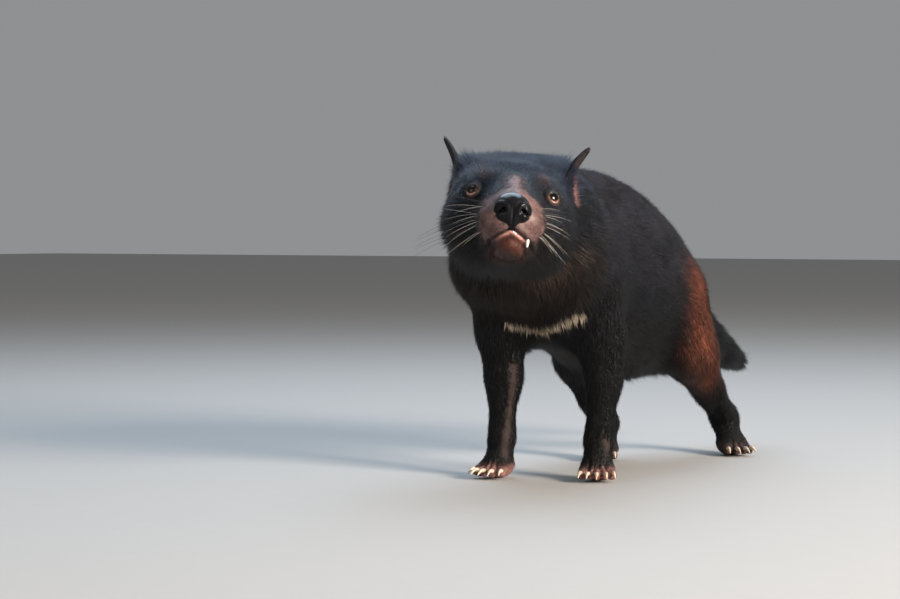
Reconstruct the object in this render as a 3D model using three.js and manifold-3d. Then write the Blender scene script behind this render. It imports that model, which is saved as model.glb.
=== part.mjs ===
// A Tasmanian devil, life size, standing on four feet with its head raised and turned to its left.
// Millimetres, +Z up. The animal faces -Y, and its left side is +X. The sole of every foot lies on Z = 0.
// The body is one implicit surface, polygonised region by region and parted with thin cuts.
import * as THREE from "three";
import Module from "manifold-3d";
import { mergeVertices } from "three/addons/utils/BufferGeometryUtils.js";

// Driving dimensions
const GAP = 0.3; // between neighbouring pieces
const BACK_HEIGHT = 315; // top of the coat over the shoulders
const BELLY_HEIGHT = 92; // lowest coat of the belly over the ground
const CHEST_HEIGHT = 130; // breastbone over the ground, between the forelegs
const TRUNK_HALF_WIDTH = 76;
const RUMP_Y = 116; // where the trunk ends, behind
const HEAD_HALF_WIDTH = 62; // across the cheeks
const CROWN = 47; // top of the head over the line of the eyes
const CHIN = 68; // bottom of the jaw under the line of the eyes
const NOSE_REACH = 114; // nose tip ahead of the line of the ears
const EYE_HALF_SPACING = 36;
const EYE_RADIUS = 8.2;
const EYE_PROUD = 3.2; // how far the eyeball stands out of the head
const LID_THICKNESS = 1.5;
const LID_OPENING_WIDE = 63; // degrees at the eyeball's centre, from its axis to a corner of the eye
const LID_OPENING_HIGH = 52; // and from its axis to the edge of a lid
const MOUTH_HEIGHT = -53; // line of the mouth, from the line of the eyes
const MOUTH_CORNER = 62; // corner of the mouth ahead of the line of the ears
const LIP_RADIUS = 2.6;
const CANINE_LENGTH = 9;
const CANINE_RADIUS = 2;
const EAR_WIDTH = 38;
const EAR_CUP = 9; // depth of the ear's hollow
const EAR_RIM_THICKNESS = 1.5;
const EAR_ROOT_THICKNESS = 3.1;
const TAIL_RADIUS = 23;
const SOLE_RADIUS = 18;
const TOE_RADIUS = 5;
const TOE_SPREAD = 7.5; // degrees from one toe to the next
const CLAW_LENGTH = 13;
const CLAW_RADIUS = 2.9;

// Cell sizes of the polygonised regions
const TRUNK_CELL = 24;
const NECK_CELL = 13;
const HEAD_CELL = 8;
const LEG_CELL = 13;
const FOOT_CELL = 9.5;
const TAIL_CELL = 14;
const NOSE_CELL = 6;
const ROOM_CELL = 20;

// Corners that cuts leave closer together than this are drawn into one
const WELD = 0.004;

const wasm = await Module();
wasm.setup();

const v3 = (x, y, z) => new THREE.Vector3(x, y, z);

// Materials
const coat = new THREE.MeshStandardMaterial({ color: 0x17130f, roughness: 0.78 });
const flankCoat = new THREE.MeshStandardMaterial({ color: 0x2a1710, roughness: 0.8 });
const muzzleSkin = new THREE.MeshStandardMaterial({ color: 0x5b3a33, roughness: 0.62 });
const noseSkin = new THREE.MeshStandardMaterial({ color: 0x0d0c0e, roughness: 0.28 });
const footSkin = new THREE.MeshStandardMaterial({ color: 0x3a2622, roughness: 0.6 });
const earSkin = new THREE.MeshStandardMaterial({ color: 0x5a2c26, roughness: 0.6 });
const eyeball = new THREE.MeshStandardMaterial({ color: 0x120b07, roughness: 0.08 });
const horn = new THREE.MeshStandardMaterial({ color: 0xb7a58c, roughness: 0.42 });
const enamel = new THREE.MeshStandardMaterial({ color: 0xe6dfcc, roughness: 0.3 });

// Fields: each is a function of x, y, z, negative inside, and roughly a distance in millimetres

function smoothUnion(blend, ...fields) {
  return (x, y, z) => {
    let d = fields[0](x, y, z);
    for (let i = 1; i < fields.length; i++) {
      const e = fields[i](x, y, z);
      const h = Math.max(blend - Math.abs(d - e), 0) / blend;
      d = Math.min(d, e) - (h * h * blend) / 4;
    }
    return d;
  };
}

function roundCone(a, b, ra, rb) {
  const ab = b.clone().sub(a);
  const square = ab.lengthSq();
  return (x, y, z) => {
    const px = x - a.x, py = y - a.y, pz = z - a.z;
    const t = Math.min(1, Math.max(0, (px * ab.x + py * ab.y + pz * ab.z) / square));
    return Math.hypot(px - ab.x * t, py - ab.y * t, pz - ab.z * t) - ra - (rb - ra) * t;
  };
}

function limb(points, radii, blend) {
  const bones = points.slice(1).map((p, i) => roundCone(points[i], p, radii[i], radii[i + 1]));
  return smoothUnion(blend, ...bones);
}

function ellipsoid(centre, radii) {
  return (x, y, z) => {
    const ux = (x - centre.x) / radii.x, uy = (y - centre.y) / radii.y, uz = (z - centre.z) / radii.z;
    const k = Math.hypot(ux, uy, uz);
    if (k < 1e-6) return -Math.min(radii.x, radii.y, radii.z);
    return (k * (k - 1)) / Math.hypot(ux / radii.x, uy / radii.y, uz / radii.z);
  };
}

// The value at s of a smooth curve through the stations' [place, value] pairs
function through(stations, key) {
  const xs = stations.map((s) => s.at);
  const ys = stations.map((s) => s[key]);
  const slope = xs.map((x, i) => {
    const a = Math.max(0, i - 1), b = Math.min(xs.length - 1, i + 1);
    return (ys[b] - ys[a]) / (xs[b] - xs[a]);
  });
  return (s) => {
    if (s <= xs[0]) return ys[0];
    if (s >= xs[xs.length - 1]) return ys[ys.length - 1];
    let i = 0;
    while (s > xs[i + 1]) i++;
    const w = xs[i + 1] - xs[i], t = (s - xs[i]) / w;
    const a = t * t * (3 - 2 * t), b = t * (1 - t) * (1 - t), c = t * t * (t - 1);
    return ys[i] * (1 - a) + ys[i + 1] * a + w * (b * slope[i] + c * slope[i + 1]);
  };
}

// A body drawn through cross-sections. along, across and up pick the coordinates.
function loft(stations, squareness) {
  const middle = through(stations, "middle"), half = through(stations, "half");
  const top = through(stations, "top"), bottom = through(stations, "bottom");
  const first = stations[0].at, last = stations[stations.length - 1].at;
  return (along, across, up) => {
    const s = Math.min(last, Math.max(first, along));
    const over = Math.abs(along - s);
    const h = (top(s) - bottom(s)) / 2;
    const dx = across - middle(s), dz = up - (top(s) + bottom(s)) / 2;
    const sum = Math.abs(dx / half(s)) ** squareness + Math.abs(dz / h) ** squareness;
    const rho = sum ** (1 / squareness);
    const reach = Math.hypot(dx, dz);
    const radial = rho < 1e-3 ? -Math.min(h, half(s)) : reach * (1 - 1 / rho);
    return over > 0 ? Math.hypot(Math.max(radial, 0), over) + Math.min(radial, 0) * 0.1 : radial;
  };
}

// Polygonises a field inside a box with one vertex in each cell that the surface crosses
function polygonise(field, box, cell) {
  const size = box.getSize(new THREE.Vector3());
  const [nx, ny, nz] = size.toArray().map((length) => Math.ceil(length / cell) + 1);
  const at = (i, j, k) => (k * ny + j) * nx + i;
  const values = new Float32Array(nx * ny * nz);
  const spot = (i, j, k) => [box.min.x + i * cell, box.min.y + j * cell, box.min.z + k * cell];
  for (let k = 0; k < nz; k++)
    for (let j = 0; j < ny; j++)
      for (let i = 0; i < nx; i++) {
        const edge = i === 0 || j === 0 || k === 0 || i === nx - 1 || j === ny - 1 || k === nz - 1;
        const d = field(...spot(i, j, k));
        values[at(i, j, k)] = edge ? Math.max(d, cell / 4) : d || 1e-6;
      }
  const corners = [];
  for (let c = 0; c < 8; c++) corners.push([c & 1, (c >> 1) & 1, c >> 2]);
  const index = new Int32Array(nx * ny * nz).fill(-1);
  const points = [];
  for (let k = 0; k < nz - 1; k++)
    for (let j = 0; j < ny - 1; j++)
      for (let i = 0; i < nx - 1; i++) {
        const sum = v3(0, 0, 0);
        let count = 0;
        for (let a = 0; a < 8; a++)
          for (let axis = 0; axis < 3; axis++) {
            if (corners[a][axis]) continue;
            const b = a | (1 << axis);
            const va = values[at(i + corners[a][0], j + corners[a][1], k + corners[a][2])];
            const vb = values[at(i + corners[b][0], j + corners[b][1], k + corners[b][2])];
            if (va < 0 === vb < 0) continue;
            const t = va / (va - vb);
            const p = spot(i + corners[a][0], j + corners[a][1], k + corners[a][2]);
            p[axis] += t * cell;
            sum.add(v3(...p));
            count++;
          }
        if (!count) continue;
        index[at(i, j, k)] = points.length;
        points.push(sum.divideScalar(count));
      }
  const quads = [];
  for (let k = 0; k < nz - 1; k++)
    for (let j = 0; j < ny - 1; j++)
      for (let i = 0; i < nx - 1; i++) {
        const inside = values[at(i, j, k)] < 0;
        const sides = [
          [j && k, at(i + 1, j, k), [at(i, j - 1, k - 1), at(i, j, k - 1), at(i, j, k), at(i, j - 1, k)]],
          [i && k, at(i, j + 1, k), [at(i - 1, j, k - 1), at(i - 1, j, k), at(i, j, k), at(i, j, k - 1)]],
          [i && j, at(i, j, k + 1), [at(i - 1, j - 1, k), at(i, j - 1, k), at(i, j, k), at(i - 1, j, k)]],
        ];
        for (const [within, next, ring] of sides) {
          if (!within || values[next] < 0 === inside) continue;
          const quad = ring.map((c) => index[c]);
          quads.push(inside ? quad : quad.reverse());
        }
      }
  settle(points, quads, field, box, cell);
  return triangulated(points, quads);
}

// Evens out the vertices along the surface and puts them back on it
function settle(points, quads, field, box, cell) {
  const near = points.map(() => new Set());
  for (const q of quads) q.forEach((a, i) => near[a].add(q[(i + 1) % 4]).add(q[(i + 3) % 4]));
  const margin = cell * 1.6;
  const free = points.map((p) =>
    ["x", "y", "z"].every((a) => p[a] > box.min[a] + margin && p[a] < box.max[a] - margin));
  const step = 0.3;
  const toSurface = (p) => {
    const d = field(p.x, p.y, p.z);
    const g = v3(
      field(p.x + step, p.y, p.z) - field(p.x - step, p.y, p.z),
      field(p.x, p.y + step, p.z) - field(p.x, p.y - step, p.z),
      field(p.x, p.y, p.z + step) - field(p.x, p.y, p.z - step),
    ).divideScalar(2 * step);
    const move = g.multiplyScalar(d / Math.max(g.lengthSq(), 0.2));
    p.sub(move.clampLength(0, cell * 0.3));
  };
  for (let round = 0; round < 3; round++) {
    const old = points.map((p) => p.clone());
    points.forEach((p, i) => {
      if (!free[i]) return;
      const mean = v3(0, 0, 0);
      near[i].forEach((j) => mean.add(old[j]));
      p.lerp(mean.divideScalar(near[i].size), 0.5);
      toSurface(p);
      toSurface(p);
    });
  }
}

function triangulated(points, quads) {
  const faces = [];
  for (const [a, b, c, d] of quads) {
    const shortAC = points[a].distanceToSquared(points[c]) < points[b].distanceToSquared(points[d]);
    if (shortAC) faces.push(a, b, c, a, c, d);
    else faces.push(a, b, d, b, c, d);
  }
  return indexed(points, faces);
}

function indexed(points, faces) {
  const geometry = new THREE.BufferGeometry();
  const places = points.flatMap((p) => p.toArray());
  geometry.setAttribute("position", new THREE.Float32BufferAttribute(places, 3));
  geometry.setIndex(faces);
  return geometry;
}

// Solids

function solid(geometry) {
  const bare = geometry.clone();
  bare.deleteAttribute("normal");
  bare.deleteAttribute("uv");
  const merged = mergeVertices(bare, 1e-4);
  return new wasm.Manifold(
    new wasm.Mesh({
      numProp: 3,
      vertProperties: new Float32Array(merged.attributes.position.array),
      triVerts: new Uint32Array(merged.index.array),
    }),
  );
}

function bodyOf(field, box, cell) {
  return solid(polygonise(field, box, cell));
}

function largest(whole) {
  return whole.decompose().reduce((a, b) => (a.volume() > b.volume() ? a : b));
}

function geometryOf(whole) {
  const mesh = whole.getMesh();
  const geometry = new THREE.BufferGeometry();
  geometry.setAttribute("position", new THREE.BufferAttribute(mesh.vertProperties, 3));
  geometry.setIndex(new THREE.BufferAttribute(mesh.triVerts, 1));
  geometry.computeVertexNormals();
  return geometry;
}

// The same solid with its surface moved out a little
function grown(whole, by) {
  const geometry = geometryOf(whole);
  const { position, normal } = geometry.attributes;
  for (let i = 0; i < position.count; i++) {
    const out = v3(0, 0, 0).fromBufferAttribute(normal, i).multiplyScalar(by);
    const p = v3(0, 0, 0).fromBufferAttribute(position, i).add(out);
    position.setXYZ(i, p.x, p.y, p.z);
  }
  return solid(geometry);
}

// Draws the two ends of each very short edge into one corner, and moves corners that only touch inwards and apart
function welded(geometry) {
  const { position } = geometry.attributes;
  const corner = (_, i) => v3(0, 0, 0).fromBufferAttribute(position, i);
  const place = Array.from({ length: position.count }, corner);
  let faces = [];
  for (let i = 0; i < geometry.index.count; i += 3)
    faces.push([0, 1, 2].map((k) => geometry.index.getX(i + k)));
  for (;;) {
    const near = place.map(() => new Set());
    for (const f of faces) f.forEach((a, i) => near[a].add(f[(i + 1) % 3]).add(f[(i + 2) % 3]));
    const shared = (a, b) => [...near[a]].filter((c) => near[b].has(c)).length;
    const isShort = ([a, b]) => place[a].distanceTo(place[b]) < WELD && shared(a, b) === 2;
    const edge = faces.flatMap(([a, b, c]) => [[a, b], [b, c], [c, a]]).find(isShort);
    if (!edge) break;
    const [kept, lost] = edge;
    faces = faces.map((f) => f.map((a) => (a === lost ? kept : a)));
    faces = faces.filter(([a, b, c]) => a !== b && b !== c && c !== a);
  }
  const corners = [...new Set(faces.flat())];
  for (const a of corners)
    for (const b of corners)
      if (a !== b && place[a].distanceTo(place[b]) < WELD) {
        const inwards = v3(0, 0, 0).fromBufferAttribute(geometry.attributes.normal, a);
        position.setXYZ(a, ...place[a].clone().addScaledVector(inwards, -WELD * 2).toArray());
      }
  geometry.setIndex(faces.flat());
  geometry.computeVertexNormals();
  return geometry;
}

function node(name, whole, material) {
  const made = new THREE.Mesh(welded(geometryOf(largest(whole))), material);
  made.name = name;
  return made;
}

// The side of a plane that its normal points to, starting shift millimetres beyond the plane
function beyond(point, normal, shift) {
  const reach = 1500;
  const turn = new THREE.Quaternion().setFromUnitVectors(v3(0, 0, 1), normal.clone().normalize());
  const centre = point.clone().addScaledVector(normal.clone().normalize(), reach / 2 + shift);
  const box = new THREE.BoxGeometry(reach, reach, reach).applyQuaternion(turn);
  return solid(box.translate(centre.x, centre.y, centre.z));
}

const before = (point, normal, shift) => beyond(point, normal.clone().negate(), shift);

function ball(centre, radius, sides, rings) {
  return solid(new THREE.SphereGeometry(radius, sides, rings).translate(centre.x, centre.y, centre.z));
}

// A closed tube of changing radius through the points
function taperedTube(points, radii, sides) {
  const rings = points.length;
  const place = [];
  const faces = [];
  let side = null;
  points.forEach((p, i) => {
    const ahead = points[Math.min(i + 1, rings - 1)].clone().sub(points[Math.max(i - 1, 0)]).normalize();
    if (side === null) {
      const hint = Math.abs(ahead.z) < 0.9 ? v3(0, 0, 1) : v3(1, 0, 0);
      side = hint.clone().cross(ahead).normalize();
    } else side.addScaledVector(ahead, -side.dot(ahead)).normalize();
    const other = ahead.clone().cross(side);
    for (let s = 0; s < sides; s++) {
      const angle = (2 * Math.PI * s) / sides;
      const q = p.clone().addScaledVector(side, radii[i] * Math.cos(angle));
      place.push(q.addScaledVector(other, radii[i] * Math.sin(angle)));
    }
  });
  for (let i = 0; i < rings - 1; i++)
    for (let s = 0; s < sides; s++) {
      const a = i * sides + s, b = i * sides + ((s + 1) % sides);
      faces.push(a, b, b + sides, a, b + sides, a + sides);
    }
  place.push(points[0].clone(), points[rings - 1].clone());
  for (let s = 0; s < sides; s++) {
    const b = (s + 1) % sides, last = (rings - 1) * sides;
    faces.push(place.length - 2, b, s);
    faces.push(place.length - 1, last + s, last + b);
  }
  return solid(indexed(place, faces));
}

// The head's own frame: forward, left and up from the middle of the line of the ears
const headFrame = (() => {
  const yaw = THREE.MathUtils.degToRad(34.5);
  const pitch = THREE.MathUtils.degToRad(12);
  const roll = THREE.MathUtils.degToRad(5.5);
  const forward = v3(Math.sin(yaw) * Math.cos(pitch), -Math.cos(yaw) * Math.cos(pitch), Math.sin(pitch));
  const level = v3(Math.cos(yaw), Math.sin(yaw), 0);
  const upright = forward.clone().cross(level);
  const left = level.clone().multiplyScalar(Math.cos(roll)).addScaledVector(upright, -Math.sin(roll));
  const up = forward.clone().cross(left);
  const origin = v3(14.7, -259.3, 274.7);
  return { origin, forward, left, up };
})();

function headPoint(f, l, u) {
  const p = headFrame.origin.clone().addScaledVector(headFrame.forward, f);
  return p.addScaledVector(headFrame.left, l).addScaledVector(headFrame.up, u);
}

function headDirection(f, l, u) {
  return headPoint(f, l, u).sub(headFrame.origin).normalize();
}

// A field written in the head's frame, read in the animal's
function inHead(field) {
  const { origin: o, forward: f, left: l, up: u } = headFrame;
  return (x, y, z) => {
    const px = x - o.x, py = y - o.y, pz = z - o.z;
    return field(
      px * f.x + py * f.y + pz * f.z,
      px * l.x + py * l.y + pz * l.z,
      px * u.x + py * u.y + pz * u.z,
    );
  };
}

const inflated = (field, by) => (x, y, z) => field(x, y, z) - by;
const mirrored = (field) => (f, l, u) => field(f, Math.abs(l), u);

// Head sections run from the nape to the nose
const skullSections = [
  { at: -48, middle: 0, half: 46, top: 40, bottom: -42 },
  { at: -30, middle: 0, half: 54, top: 49, bottom: -50 },
  { at: -8, middle: 0, half: HEAD_HALF_WIDTH - 4, top: CROWN - 1, bottom: -56 },
  { at: 14, middle: 0, half: HEAD_HALF_WIDTH - 3, top: CROWN - 6, bottom: -60 },
  { at: 34, middle: 0, half: 52, top: 36, bottom: -61 },
  { at: 50, middle: 0, half: 42, top: 21, bottom: -60 },
  { at: 66, middle: 0, half: 33, top: 6, bottom: -57 },
  { at: 84, middle: 0, half: 27, top: -5, bottom: -55 },
  { at: 98, middle: 0, half: 22, top: -11, bottom: -52 },
  { at: 108, middle: 0, half: 14, top: -17, bottom: -47 },
];
const jawSections = [
  { at: 10, middle: 0, half: 40, top: -30, bottom: -(CHIN - 6) },
  { at: 40, middle: 0, half: 31, top: -34, bottom: -CHIN },
  { at: 66, middle: 0, half: 22, top: -40, bottom: -(CHIN + 1) },
  { at: 86, middle: 0, half: 16.5, top: -44, bottom: -CHIN },
  { at: 97, middle: 0, half: 12, top: -47, bottom: -(CHIN - 5) },
];
const cheek = ellipsoid(v3(18, 36, -28), v3(42, 25, 31));
const cheekArch = ellipsoid(v3(28, 42, -8), v3(30, 14, 16));
const brow = ellipsoid(v3(43, 25, 13), v3(15, 13, 7));
const whiskerPad = ellipsoid(v3(83, 17, -36), v3(22, 16, 16));
const bridge = roundCone(v3(58, 0, 3), v3(101, 0, -23), 15, 12);
const bodyHead = inHead(
  smoothUnion(
    6,
    smoothUnion(10, loft(skullSections, 2.3), mirrored(cheek), mirrored(cheekArch), mirrored(brow)),
    mirrored(whiskerPad),
    bridge,
    loft(jawSections, 2.2),
  ),
);

// Trunk and neck, by upright sections from the throat to the rump
const trunkSections = [
  { at: -242, middle: 16, half: 46, top: 300, bottom: 222 },
  { at: -224, middle: 8, half: 62, top: 314, bottom: 188 },
  { at: -204, middle: 3, half: 73, top: BACK_HEIGHT + 3, bottom: 162 },
  { at: -178, middle: 2, half: 77, top: BACK_HEIGHT + 1, bottom: 143 },
  { at: -140, middle: -2, half: 74, top: BACK_HEIGHT, bottom: CHEST_HEIGHT },
  { at: -95, middle: -5, half: 73, top: BACK_HEIGHT - 1, bottom: 118 },
  { at: -50, middle: -7, half: TRUNK_HALF_WIDTH, top: BACK_HEIGHT - 7, bottom: 102 },
  { at: -10, middle: -8, half: TRUNK_HALF_WIDTH, top: BACK_HEIGHT - 19, bottom: BELLY_HEIGHT },
  { at: 30, middle: -6, half: 71, top: 276, bottom: 97 },
  { at: 62, middle: -3, half: 60, top: 253, bottom: 114 },
  { at: 88, middle: 0, half: 46, top: 230, bottom: 138 },
  { at: 106, middle: 2, half: 31, top: 211, bottom: 158 },
  { at: RUMP_Y, middle: 3, half: 16, top: 197, bottom: 172 },
];
const trunkLoft = loft(trunkSections, 2.15);
const ruff = smoothUnion(
  16,
  ellipsoid(v3(-48, -222, 268), v3(24, 34, 60)),
  ellipsoid(v3(-20, -212, 269), v3(40, 42, 60)),
  ellipsoid(v3(19, -206, 266), v3(40, 43, 59)),
);
const throat = ellipsoid(v3(-12, -212, 214), v3(68, 44, 46));
const trunk = smoothUnion(16, (x, y, z) => trunkLoft(y, x, z), ruff, throat);

// The tail, from the rump down and to the left
const tailPoints = [
  v3(2, 80, 190),
  v3(5, 112, 174),
  v3(8, 142, 150),
  v3(12, 174, 127),
  v3(16, 205, 111),
  v3(19, 235, 100),
  v3(20, 254, 95),
];
const tailRadii = [26, 25, TAIL_RADIUS, TAIL_RADIUS - 1, 19, 13.5, 7];
const tail = limb(tailPoints, tailRadii, 6);

// Legs: side is +1 for left, and turn is how far the toes point outwards, in degrees.
// Joints run from the shoulder or hip to the ankle.
const legs = [
  {
    name: "foreleg_left", side: 1, fore: true, turn: 28,
    joints: [v3(41, -158, 200), v3(52, -150, 146), v3(57, -148, 102), v3(53, -150, 44), v3(52, -152, 20)],
    radii: [31, 27, 18.5, 14, 13],
  },
  {
    name: "foreleg_right", side: -1, fore: true, turn: 2,
    joints: [v3(-42, -188, 200), v3(-41, -184, 150), v3(-40, -181, 102), v3(-41, -182, 44), v3(-43, -184, 20)],
    radii: [31, 26, 19, 13, 12.5],
  },
  {
    name: "hindleg_left", side: 1, fore: false, turn: 50,
    joints: [v3(40, 50, 184), v3(49, 58, 118), v3(48, 108, 74), v3(46, 150, 42), v3(58, 142, 17)],
    radii: [30, 31, 17, 14.5, 13],
  },
  {
    name: "hindleg_right", side: -1, fore: false, turn: -25,
    joints: [v3(-46, 48, 182), v3(-51, -4, 112), v3(-44, 14, 70), v3(-39, 28, 42), v3(-36, 20, 17)],
    radii: [30, 29, 18, 14.5, 13],
  },
];
const legFields = legs.map((leg) => limb(leg.joints, leg.radii, 12));
const body = smoothUnion(20, smoothUnion(16, smoothUnion(14, trunk, tail), bodyHead), ...legFields);

// The room that one leg takes up, down from its muscle inside the trunk
const legRooms = legs.map((leg, i) => {
  const box = new THREE.Box3().setFromPoints(leg.joints).expandByScalar(66);
  return bodyOf(inflated(legFields[i], 5), box, ROOM_CELL);
});
const clearRooms = legRooms.map((room) => grown(room, GAP * 1.1));
const withoutLegs = (whole) => clearRooms.reduce((rest, room) => rest.subtract(room), whole);

// Planes that part the head, the neck and the tail
const napePoint = headPoint(-34, 0, 50);
const napeNormal = headDirection(0.9, 0, 0.43);
const shoulderPoint = v3(0, -160, BACK_HEIGHT);
const shoulderNormal = v3(0, -0.96, 0.277);
const tailPoint = tailPoints[1];
const tailNormal = tailPoints[2].clone().sub(tailPoints[1]).normalize();
const aboveGround = beyond(v3(0, 0, 0), v3(0, 0, 1), 0);

function torsoNode() {
  const box = new THREE.Box3(v3(-108, -250, 70), v3(112, 150, 350));
  const whole = bodyOf(body, box, TRUNK_CELL);
  const parted = whole.intersect(before(shoulderPoint, shoulderNormal, GAP / 2));
  return node("torso", withoutLegs(parted.intersect(before(tailPoint, tailNormal, GAP / 2))), coat);
}

function neckNode() {
  const box = new THREE.Box3(v3(-100, -320, 110), v3(116, -104, 356));
  const front = bodyOf(body, box, NECK_CELL).intersect(beyond(shoulderPoint, shoulderNormal, GAP / 2));
  return node("neck", withoutLegs(front.intersect(before(napePoint, napeNormal, GAP / 2))), coat);
}

function tailNode() {
  const box = new THREE.Box3(v3(-44, 60, 44), v3(70, 290, 262));
  const whole = bodyOf(body, box, TAIL_CELL).intersect(beyond(tailPoint, tailNormal, GAP / 2));
  return node("tail", withoutLegs(whole), coat);
}

// Where a line from a point inside a field leaves it
function surfaceFrom(start, direction, field) {
  const p = start.clone();
  for (let i = 0; i < 60; i++) {
    const d = field(p.x, p.y, p.z);
    if (Math.abs(d) < 0.01) break;
    p.addScaledVector(direction, -d * 0.8);
  }
  return p;
}

function normalAt(p, field) {
  return v3(
    field(p.x + 1, p.y, p.z) - field(p.x - 1, p.y, p.z),
    field(p.x, p.y + 1, p.z) - field(p.x, p.y - 1, p.z),
    field(p.x, p.y, p.z + 1) - field(p.x, p.y, p.z - 1),
  ).normalize();
}

// Each eyeball stands a little proud of the head's surface, and looks forwards and outwards along its axis
const eyes = [1, -1].map((side) => {
  const inside = headPoint(20, side * EYE_HALF_SPACING, -1);
  const window = surfaceFrom(inside, headDirection(1, 0, 0), bodyHead);
  const centre = window.clone().addScaledVector(normalAt(window, bodyHead), EYE_PROUD - EYE_RADIUS);
  return { name: side > 0 ? "eye_left" : "eye_right", axis: headDirection(0.84, side * 0.5, 0.2), centre };
});

// Both lids of one eye: a shell over the eyeball with an oval opening
function lids(eye) {
  const across = headFrame.up.clone().cross(eye.axis).normalize();
  const back = eye.axis.clone().negate();
  const depth = EYE_RADIUS * 3;
  const wide = depth * Math.tan(THREE.MathUtils.degToRad(LID_OPENING_WIDE));
  const high = depth * Math.tan(THREE.MathUtils.degToRad(LID_OPENING_HIGH));
  const opening = new THREE.ConeGeometry(1, 1, 20).translate(0, -0.5, 0).scale(wide, depth, high);
  opening.applyMatrix4(new THREE.Matrix4().makeBasis(across, back, across.clone().cross(back)));
  const shell = ball(eye.centre, EYE_RADIUS + GAP + LID_THICKNESS, 18, 12);
  return shell.subtract(solid(opening.translate(eye.centre.x, eye.centre.y, eye.centre.z)));
}

// A lip: a tube along the line of the mouth, sunk into the muzzle
function lip(height) {
  const points = [];
  const radii = [];
  const steps = 16;
  const sweep = 98;
  for (let i = 0; i <= steps; i++) {
    const angle = THREE.MathUtils.degToRad(sweep * ((2 * i) / steps - 1));
    const direction = headDirection(Math.cos(angle), Math.sin(angle), 0);
    const edge = surfaceFrom(headPoint(MOUTH_CORNER + 4, 0, height), direction, bodyHead);
    points.push(edge.addScaledVector(direction, -LIP_RADIUS * 0.55));
    radii.push(i === 0 || i === steps ? LIP_RADIUS * 0.45 : LIP_RADIUS);
  }
  return taperedTube(points, radii, 6);
}

// A nostril opens forwards and outwards, with a slit at its outer side
function nostril(side) {
  const hole = [
    headPoint(NOSE_REACH - 14, side * 5.5, -31),
    headPoint(NOSE_REACH - 6, side * 7.5, -31),
    headPoint(NOSE_REACH + 2, side * 9.5, -31.5),
  ];
  const slit = [headPoint(NOSE_REACH - 7, side * 10, -32), headPoint(NOSE_REACH - 3, side * 15.5, -34)];
  return taperedTube(hole, [1.6, 3.1, 4.2], 8).add(taperedTube(slit, [1.7, 1.2], 6));
}

function noseBody() {
  const centre = headPoint(NOSE_REACH - 12, 0, -28);
  const box = new THREE.Box3().setFromCenterAndSize(centre, v3(56, 56, 56));
  const field = smoothUnion(
    5,
    ellipsoid(v3(NOSE_REACH - 13, -1, -24), v3(14, 15, 11.5)),
    mirrored(ellipsoid(v3(NOSE_REACH - 12, 8.5, -31), v3(11, 8, 9.5))),
    ellipsoid(v3(NOSE_REACH - 12, 0, -37), v3(10, 5, 9)),
  );
  return bodyOf(inHead(field), box, NOSE_CELL);
}

// The left upper canine shows below the lip
function canine(grow) {
  const inside = headPoint(MOUTH_CORNER + 20, 14, MOUTH_HEIGHT);
  const root = surfaceFrom(inside, headDirection(0.9, 0.2, 0), bodyHead).addScaledVector(headFrame.up, 2);
  const points = [];
  const radii = [];
  const steps = 3;
  for (let i = 0; i <= steps; i++) {
    const drop = (CANINE_LENGTH * i) / steps;
    points.push(root.clone().addScaledVector(headFrame.up, -drop).addScaledVector(headFrame.forward, 1.2));
    radii.push(CANINE_RADIUS * (1 - 0.75 * (i / steps) ** 3) + grow);
  }
  return taperedTube(points, radii, 8);
}

// An ear: a cupped leaf on the side of the head, its hollow turned outwards and its point bent out
function ear(side) {
  const base = headPoint(-8, side * 52, 3);
  const bend = headPoint(-14, side * 50, 38);
  const tip = side > 0 ? headPoint(-16, 74, 66) : headPoint(-16, -69, 63);
  const rows = 9;
  const columns = 6;
  const front = [];
  const back = [];
  const curve = new THREE.QuadraticBezierCurve3(base, bend, tip);
  for (let r = 0; r <= rows; r++) {
    const t = r / rows;
    const along = curve.getTangent(t);
    const hollow = headDirection(side > 0 ? 0.3 : 0.06, side * 0.9, -0.25);
    hollow.addScaledVector(along, -hollow.dot(along)).normalize();
    const across = along.clone().cross(hollow).multiplyScalar(side);
    const half = (EAR_WIDTH / 2) * Math.min(1, 0.62 + t) * Math.sqrt(Math.max(0.006, 1 - t ** 1.9));
    for (let c = 0; c <= columns; c++) {
      const s = (2 * c) / columns - 1;
      const middle = 1 - s * s;
      const thick = EAR_RIM_THICKNESS + (EAR_ROOT_THICKNESS - EAR_RIM_THICKNESS) * (1 - t) * middle;
      const sunk = EAR_CUP * middle * (1 - t * 0.6);
      const p = curve.getPoint(t).addScaledVector(across, half * s);
      front.push(p.clone().addScaledVector(hollow, -sunk + thick / 2));
      back.push(p.clone().addScaledVector(hollow, -sunk - thick / 2));
    }
  }
  const faces = [];
  const wide = columns + 1;
  const offset = front.length;
  const quad = (a, b, c, d) => faces.push(a, b, c, a, c, d);
  for (let r = 0; r < rows; r++)
    for (let c = 0; c < columns; c++) {
      const a = r * wide + c;
      quad(a, a + 1, a + 1 + wide, a + wide);
      quad(offset + a, offset + a + wide, offset + a + 1 + wide, offset + a + 1);
    }
  for (let c = 0; c < columns; c++) {
    const top = rows * wide + c;
    quad(c, offset + c, offset + c + 1, c + 1);
    quad(top, top + 1, offset + top + 1, offset + top);
  }
  for (let r = 0; r < rows; r++) {
    const a = r * wide, b = r * wide + columns;
    quad(a, a + wide, offset + a + wide, offset + a);
    quad(b, offset + b, offset + b + wide, b + wide);
  }
  return solid(indexed([...front, ...back], side > 0 ? faces : faces.reverse()));
}

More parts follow.
